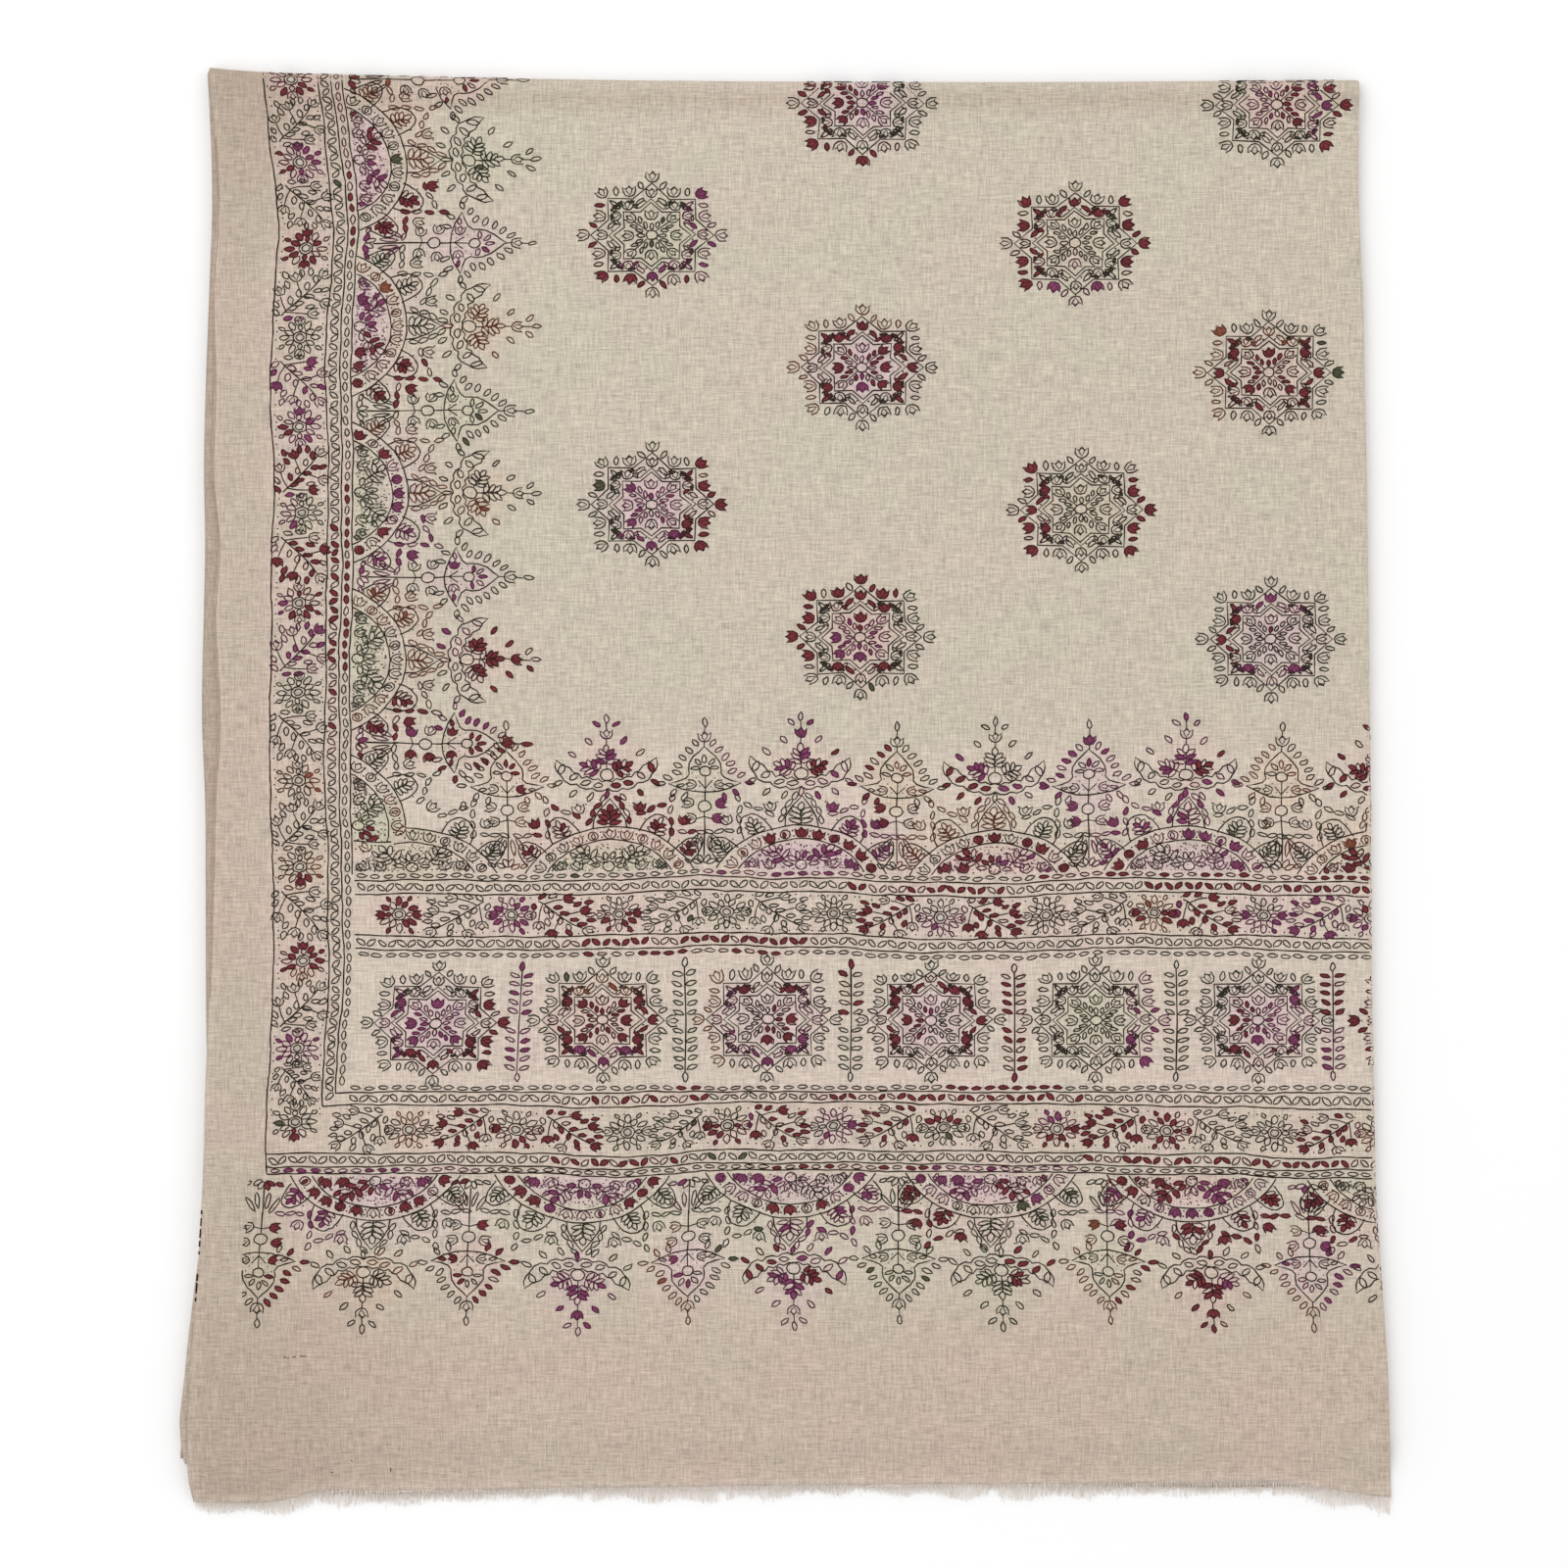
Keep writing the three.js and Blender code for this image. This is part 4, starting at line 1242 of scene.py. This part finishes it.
def toneAndShadeAt(x, y):
    # colour of the cloth at a place on the front, before the weave, with painted light and shade: paler in
    # the middle, darker towards the left edge, the bottom and the corners and under the crosswise fold
    tone = np.broadcast_to(clothTones["middle"], (*x.shape, 3)).copy()

    def toward(name, share):
        tone[...] = tone * (1 - share[..., None]) + clothTones[name] * share[..., None]

    # painted shade: darker towards the left edge and towards the bottom
    toward("left", 0.9 * (1 - eased((x + 245) / 70)))
    toward("bottom", 0.95 * (1 - eased((y + 262) / 90)))
    # the worked cloth has kept its paler colour between the stitches
    inRow = eased((x + 195) / 12) * eased((28 - y) / 20) * eased((y + 140) / 12)
    belowRow = (1 - eased((y + 140) / 12)) * eased((y + 225) / 20) * eased((x + 228) / 12)
    inBorder = (1 - eased((x + 175) / 20)) * eased((x + 228) / 4) * eased((y + 140) / 12)
    toward("worked", 0.8 * inRow + 0.35 * belowRow + 0.3 * inBorder * (1 - inRow))
    # painted shade in the top-left and bottom-left corners, then a painted shadow in a band under the
    # crosswise fold, darker again over the fold itself
    toward("corner", 0.8 * (1 - eased(np.hypot(x + 255, (y - 311)) / 120)))
    toward("corner", 0.75 * (1 - eased(np.hypot(x + 250, (y + 295)) / 150)))
    toward("corner", 0.5 * np.exp(-(((y - 302) / 5) ** 2)) + 0.4 * eased((y - 309) / 3))
    toward("worn", 0.6 * np.exp(-(((y - hemY(x, "front")) / 2.4) ** 2)))
    toward("worn", 0.3 * np.exp(-(((x - selvedgeX(y, "front")) / 2.6) ** 2)))
    step = chart["step"]
    for cx, cy, reachX, reachY, dye, share in tints:
        away = ((x / step - cx) / reachX) ** 2 + ((y / step - cy) / reachY) ** 2
        amount = share * (1 - eased((np.sqrt(away) - 0.72) / 0.45))
        tone = tone * (1 - amount[..., None]) + dye * amount[..., None]
    return tone


uvShift = (265, 325)  # keeps the weave's coordinates above zero


def clothSheet(name, face, rows, columns, out, tone):
    # rows give where along the sheet each row lies at x; columns give x for a row
    count = len(rows)
    xs = np.array([columns(row) for row in rows])
    alongs = np.array([row["along"](x) for row, x in zip(rows, xs)])
    points = layOn(face, xs, alongs, out)
    bpy.ops.mesh.primitive_grid_add(x_subdivisions=xs.shape[1] - 1, y_subdivisions=count - 1, size=2)
    piece = bpy.context.object
    piece.name = piece.data.name = name
    mesh = piece.data
    start = np.zeros(len(mesh.vertices) * 3)
    mesh.vertices.foreach_get("co", start)
    start = start.reshape(-1, 3)
    column = np.rint((start[:, 0] + 1) / 2 * (xs.shape[1] - 1)).astype(int)
    row = np.rint((start[:, 1] + 1) / 2 * (count - 1)).astype(int)
    mesh.vertices.foreach_set("co", points[row, column].ravel())
    while mesh.uv_layers:
        mesh.uv_layers.remove(mesh.uv_layers[0])
    uv = mesh.uv_layers.new(name="clothMetres")
    loops = np.zeros(len(mesh.loops), int)
    mesh.loops.foreach_get("vertex_index", loops)
    flat = np.stack([xs[row, column], alongs[row, column]], 1) + uvShift
    flat = flat * mm
    uv.data.foreach_set("uv", flat[loops].ravel())
    # the cloth's colour at each point, painted shade included
    colors = mesh.color_attributes.new("clothToneAndShade", "FLOAT_COLOR", "POINT")
    tones = tone(xs, alongs)[row, column]
    colors.data.foreach_set("color", np.column_stack([tones, np.ones(len(tones))]).ravel())
    mesh.update()
    bpy.ops.object.shade_smooth()
    solid = piece.modifiers.new("wall", "SOLIDIFY")
    solid.thickness = fold["cloth"] * mm
    solid.offset = -1
    bpy.ops.object.modifier_apply(modifier="wall")
    mesh.materials.append(clothMaterial)
    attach(piece, "root")
    bpy.ops.object.select_all(action="DESELECT")
    print(f"{name}: {sum(len(p.vertices) - 2 for p in mesh.polygons)} triangles")
    return piece


def spaced(stops):
    # positions from a list of (end, step), closer where the step is small
    at = [stops[0][0]]
    for end, step in stops[1:]:
        n = max(1, round((end - at[-1]) / step))
        at += list(np.linspace(at[-1], end, n + 1)[1:])
    return np.array(at)


panel = fold["length"] - fold["topRadius"]  # flat part of the front
overBack = 588  # flat part of the second layer, over the back
acrossShares = spaced([(0,), (8, 1.6), (122, 1.35), (fold["across"], 4.6)]) / fold["across"]
curlTurn = math.pi * 1.15
curlSteps = np.concatenate([np.linspace(0, curlTurn, 13)[1:], curlTurn + np.array([2, 4, 6.0])])
frontStops = spaced([(0,), (40, 2.0), (86, 4.5), (232, 1.5), (266, 4.5), (300, 1.6), (panel, 4.4)]) / panel


def frontColumns(row):
    left = selvedgeX(row["y"], "front", row["turn"])
    edge = foldX(row["y"])
    return np.concatenate([left + (edge - left) * acrossShares, edge + curlSteps])


def frontRowsFor(layer, stops, turnSteps):
    # from the hem up, then round the crosswise fold
    r = fold["topRadius"]
    rows = []
    for share in stops:
        along = lambda x, share=share: hemY(x, layer) * (1 - share) + (topY(x) - r) * share
        rows.append({"along": along, "y": float(along(np.array(0.0))), "turn": 0})
    for k in range(1, turnSteps + 1):
        a = math.pi * k / turnSteps
        along = lambda x, a=a: topY(x) - r + r * a
        rows.append({"along": along, "y": fold["top"] - r + r * math.sin(a), "turn": k / turnSteps})
    return rows


front = clothSheet(
    "front_cloth", frontFace, frontRowsFor("front", frontStops, 14), frontColumns, 0, toneAndShadeAt,
)
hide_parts("front_panel")


def shadedInsideTone(x, y):
    # painted shade: the layers beneath the front drawn in a darker tone of the same cloth
    tone = np.broadcast_to(clothTones["inside"], (*x.shape, 3))
    return tone * (0.97 + 0.03 * np.sin(x / 40)[..., None])


hiddenAcross = 500
innerShares = spaced([(0,), (20, 2.5), (480, 9.2), (hiddenAcross, 4)]) / hiddenAcross


def straightColumns(layer):
    def columns(row):
        left = selvedgeX(row["y"], layer, row["turn"])
        edge = foldX(row["y"]) - fold["sideReturn"] - fold["seam"]
        return left + (edge - left) * innerShares

    return columns


underStops = spaced([(0,), (40, 2.5), (panel, 8)]) / panel
underRows = frontRowsFor("under", underStops, 10)
for drop in np.linspace(6, overBack, 40):
    along = lambda x, drop=drop: (
        topY(x) - fold["topRadius"] + fold["topRadius"] * math.pi
        + drop * ((topY(x) - fold["topRadius"] - hemY(x, "back") - fold["backRadius"]) / overBack)
    )
    underRows.append({"along": along, "y": fold["top"] - fold["topRadius"] - drop, "turn": 1})
under = clothSheet(
    "under_cloth", frontFace, underRows, straightColumns("under"), -fold["pitch"], shadedInsideTone,
)
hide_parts("under_layer")


def backLength(x):
    return topY(x) - fold["topRadius"] - fold["seam"] - hemY(x, "back") - fold["backRadius"]


def backRows(until):
    # down from the crosswise fold, round the back's own fold, and up again inside
    r = fold["backRadius"]
    alongs = [lambda x, share=share: share * backLength(x) for share in np.linspace(0, 1, 64)]
    alongs += [lambda x, k=k: backLength(x) + math.pi * r * k / 12 for k in range(1, 13)]
    alongs += [
        lambda x, rise=rise: backLength(x) * (1 + rise) + math.pi * r
        for rise in np.linspace(0.01, until, 60)
    ]
    selvedge = np.array(-fold["across"] / 2)
    return [
        {"along": along, "y": float(backFace(selvedge, along(selvedge))[0]), "turn": 1}
        for along in alongs
    ]


backShares = spaced([(0,), (20, 2.5), (fold["across"], 8)]) / fold["across"]


def backColumns(row):
    left = selvedgeX(row["y"], "back", 1)
    edge = foldX(row["y"])
    return np.concatenate([left + (edge - left) * backShares, edge + curlSteps])


def shadedBackTone(x, w):
    # painted shade: the back drawn in the darker tone of the left edge
    tone = np.broadcast_to(clothTones["left"], (*x.shape, 3)).copy()
    return tone * (0.98 + 0.02 * np.cos(w / 35)[..., None])


back = clothSheet("back_cloth", backFace, backRows(0.976), backColumns, 0, shadedBackTone)
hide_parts("back_panel")


def innerColumns(row):
    left = selvedgeX(row["y"], "back", 1) + 1.4
    edge = foldX(row["y"]) - fold["sideReturn"] - fold["seam"]
    return left + (edge - left) * innerShares


innerRows = backRows(0.969)[58:]  # from just above the back's own fold
inner = clothSheet(
    "inner_cloth", backFace, innerRows, innerColumns, -fold["pitch"], shadedInsideTone,
)
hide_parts("hidden_layers")


# frayed ends
# warp ends of each hem; rest is how high their tips may lie, loose the weft yarns that have slipped
frayed = {
    "front": {"count": 1400, "length": 4.8, "thick": 0.42, "rest": 1.3, "loose": 26, "out": -0.2, "right": 1},
    "under": {"count": 760, "length": 3.0, "thick": 0.42, "rest": 0.4, "loose": 8, "out": -1.6, "right": -7},
}
hemLine = fold["top"] - fold["length"]


def frayedEnds(layer, replaced):
    spec = frayed[layer]
    work = newWork()
    left = float(selvedgeX(hemLine, layer)) + 0.6
    right = float(foldX(hemLine)) + spec["right"]
    sides = [(0, 1), (0.87, -0.5), (-0.87, -0.5)]

    def strand(line, thick):
        # three-sided, tapering to its tip
        line = np.asarray(line, float)
        n = len(line)
        run = np.gradient(line, axis=0)
        run /= np.linalg.norm(run, axis=1)[:, None]
        across = np.cross(run, [0, 0, 1.0])
        across /= np.maximum(np.linalg.norm(across, axis=1), 1e-6)[:, None]
        up = np.cross(across, run)
        taper = np.linspace(1, 0.5, n)[:, None, None] * thick / 2
        rings = line[:, None] + taper * np.stack([a * across + b * up for a, b in sides], 1)
        faces = [
            (3 * i + j, 3 * i + (j + 1) % 3, 3 * i + 3 + (j + 1) % 3, 3 * i + 3 + j)
            for i in range(n - 1) for j in range(3)
        ] + [(2, 1, 0), (3 * n - 3, 3 * n - 2, 3 * n - 1)]
        lay(work, rings.reshape(-1, 3), faces, ringThread)

    clump = rng.uniform(0, 6, 3)
    for k in range(spec["count"]):
        x = left + (right - left) * (k + rng.uniform(0.1, 0.9)) / spec["count"]
        y = float(hemY(np.array(x), layer))
        worn = math.sin(x / 19 + clump[1]) * math.sin(x / 6.3 + clump[0]) < -0.85
        tuft = 1 + 0.24 * math.sin(x / 4.3 + clump[0]) + 0.3 * math.sin(x / 23 + clump[1])
        length = spec["length"] * (0.45 if worn else 1) * tuft
        length = max(1.2, length + rng.normal(0, 0.5) + (rng.random() < 0.06) * rng.uniform(0.5, 2.4))
        lean = rng.normal(0, 0.07) + 0.1 * math.sin(x / 11 + clump[2])
        curl = rng.normal(0, 0.12)
        tip = spec["rest"] * rng.uniform(0.25, 1)
        line = [layOn(frontFace, x, y + rise, spec["out"]) / mm for rise in (rng.uniform(0.5, 1.2), 0.05)]
        edgeZ = line[1][2]
        for t in (0.3, 0.65, 1):
            line.append((
                x + fold["shift"][0] + length * (lean * t + curl * t * t * 0.6),
                y + fold["shift"][1] - length * t,
                max(edgeZ * (1 - t) ** 1.3 + tip * (1 - (1 - t) ** 1.3), 0.2),
            ))
        strand(line, spec["thick"] * rng.uniform(0.65, 1.15))
    for k in range(spec["loose"]):
        # weft yarns that have slipped down into the fringe
        x0 = rng.uniform(left + 4, right - 40)
        span = rng.uniform(6, 22)
        drop = rng.uniform(0.2, 1.1)
        xs = np.linspace(x0, x0 + span, 9)
        ys = hemY(xs, layer) - drop + 0.35 * np.sin(xs / 2.3 + k)
        height = layOn(frontFace, xs, hemY(xs, layer) + 0.3, spec["out"])[:, 2] / mm
        line = np.stack([xs + fold["shift"][0], ys + fold["shift"][1], height - 0.1 * drop], 1)
        strand(line, spec["thick"] * 0.6)
    name = f"{layer}_frayed_ends"
    points = np.vstack(work["points"])
    mesh = bpy.data.meshes.new(name)
    mesh.from_pydata((points * mm).tolist(), [], work["faces"])
    mesh.update()
    piece = bpy.data.objects.new(name, mesh)
    bpy.context.collection.objects.link(piece)
    piece.data.shade_smooth()
    piece.data.materials.append(yarnMaterial)
    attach(piece, "root")
    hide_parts(replaced)
    print(f"{name}: {sum(len(f) - 2 for f in work['faces'])} triangles")
    return piece


frontEnds = frayedEnds("front", "front_fringe")
underEnds = frayedEnds("under", "under_fringe")


# embroidery laid on the cloth
stitched = [
    finish(fieldWork, "field_medallions"), finish(rowWork, "medallion_row"),
    finish(borderWork, "left_border"), finish(upperWork, "upper_band"), finish(lowerWork, "lower_band"),
    finish(leftWork, "left_scallops"), finish(upperArchWork, "upper_scallops"),
    finish(lowerArchWork, "lower_scallops"),
]

# the firm edge of the selvedge: a reddish-brown ridge that is its thread and also a painted shadow line along
# the front's edge, with dark ends of stitches along it and a few more on the bare cloth
edge = newWork()
ys = np.linspace(-90, 285, 150)  # above the stretch where the edge lies loose
# reddish-brown selvedge thread, which also stands in as a painted shadow line along the front's edge
ridge(edge, np.stack([selvedgeX(ys, "front") + 0.5, ys], 1), linear(172, 140, 122), width=0.65)
for py, length in ((1235, 4), (1243, 8), (1254, 9), (1266, 6), (1277, 3), (1300, 7), (1309, 11), (1324, 4)):
    ys = (chart["middle"][1] - py - np.linspace(0, length, 4)) * chart["step"]
    ridge(edge, np.stack([selvedgeX(ys, "front") + 0.45, ys], 1), outlineThread, width=1.1)
for px, py, dx, dy in (
    (289, 1385, 3, 0), (293, 1386, 2, 0), (299, 1385, 3, -1), (306, 1384, 7, 0), (358, 1491, 1, 1),
    (337, 1504, 2, 0), (398, 1499, 0, 4), (345, 1063, 3, 1),
):
    x, y = fromPhoto(px, py)
    ridge(edge, np.array([(x, y), (x + dx, y - dy)]) * chart["step"], linear(84, 62, 50), width=0.7)
stitched.append(finish(edge, "selvedge_edge_and_shadow_line"))


# surface, light and camera
studio = {
    "floorDrop": 0.0004, "floorTone": 0.98, "light": 0.86,
    "lampPlace": (-0.8, 1.0, 2.4), "lampSize": 1.8, "lampPower": 18,
}
bpy.ops.mesh.primitive_plane_add(size=6, location=(0, 0, -studio["floorDrop"]))
floor = bpy.context.object
floor.name = "floor"
floorMaterial, nodes, _ = nodesOf("white surface")
withValues(nodes["Principled BSDF"], {"Base Color": (*[studio["floorTone"]] * 3, 1), "Roughness": 0.9})
floor.data.materials.append(floorMaterial)

world = bpy.data.worlds.new("studio")
bpy.context.scene.world = world
world.use_nodes = True
withValues(world.node_tree.nodes["Background"], {"Color": (1, 1, 1, 1), "Strength": studio["light"]})

bpy.ops.object.light_add(type="AREA", location=studio["lampPlace"])
lamp = bpy.context.object
lamp.name = "overhead softbox"
lamp.data.size = studio["lampSize"]
lamp.data.energy = studio["lampPower"]
x, y, z = studio["lampPlace"]
lamp.rotation_euler = (math.atan2(math.hypot(x, y), z), 0, math.atan2(x, -y))  # aimed at the middle

# seen is the width in metres that fills the picture at the height of the top layer
eye = {"height": 2.4, "aim": (-0.785 * mm, 3.487 * mm), "seen": 0.6848, "sensor": 36}
bpy.ops.object.camera_add(location=(*eye["aim"], eye["height"]), rotation=(0, 0, 0))
camera = bpy.context.object
camera.data.sensor_width = eye["sensor"]
camera.data.lens = eye["sensor"] * (eye["height"] - fold["stack"] * mm) / eye["seen"]
camera.data.clip_end = 20
bpy.context.scene.camera = camera
bpy.context.scene.view_settings.view_transform = "Standard"
print("surface, light and camera placed")
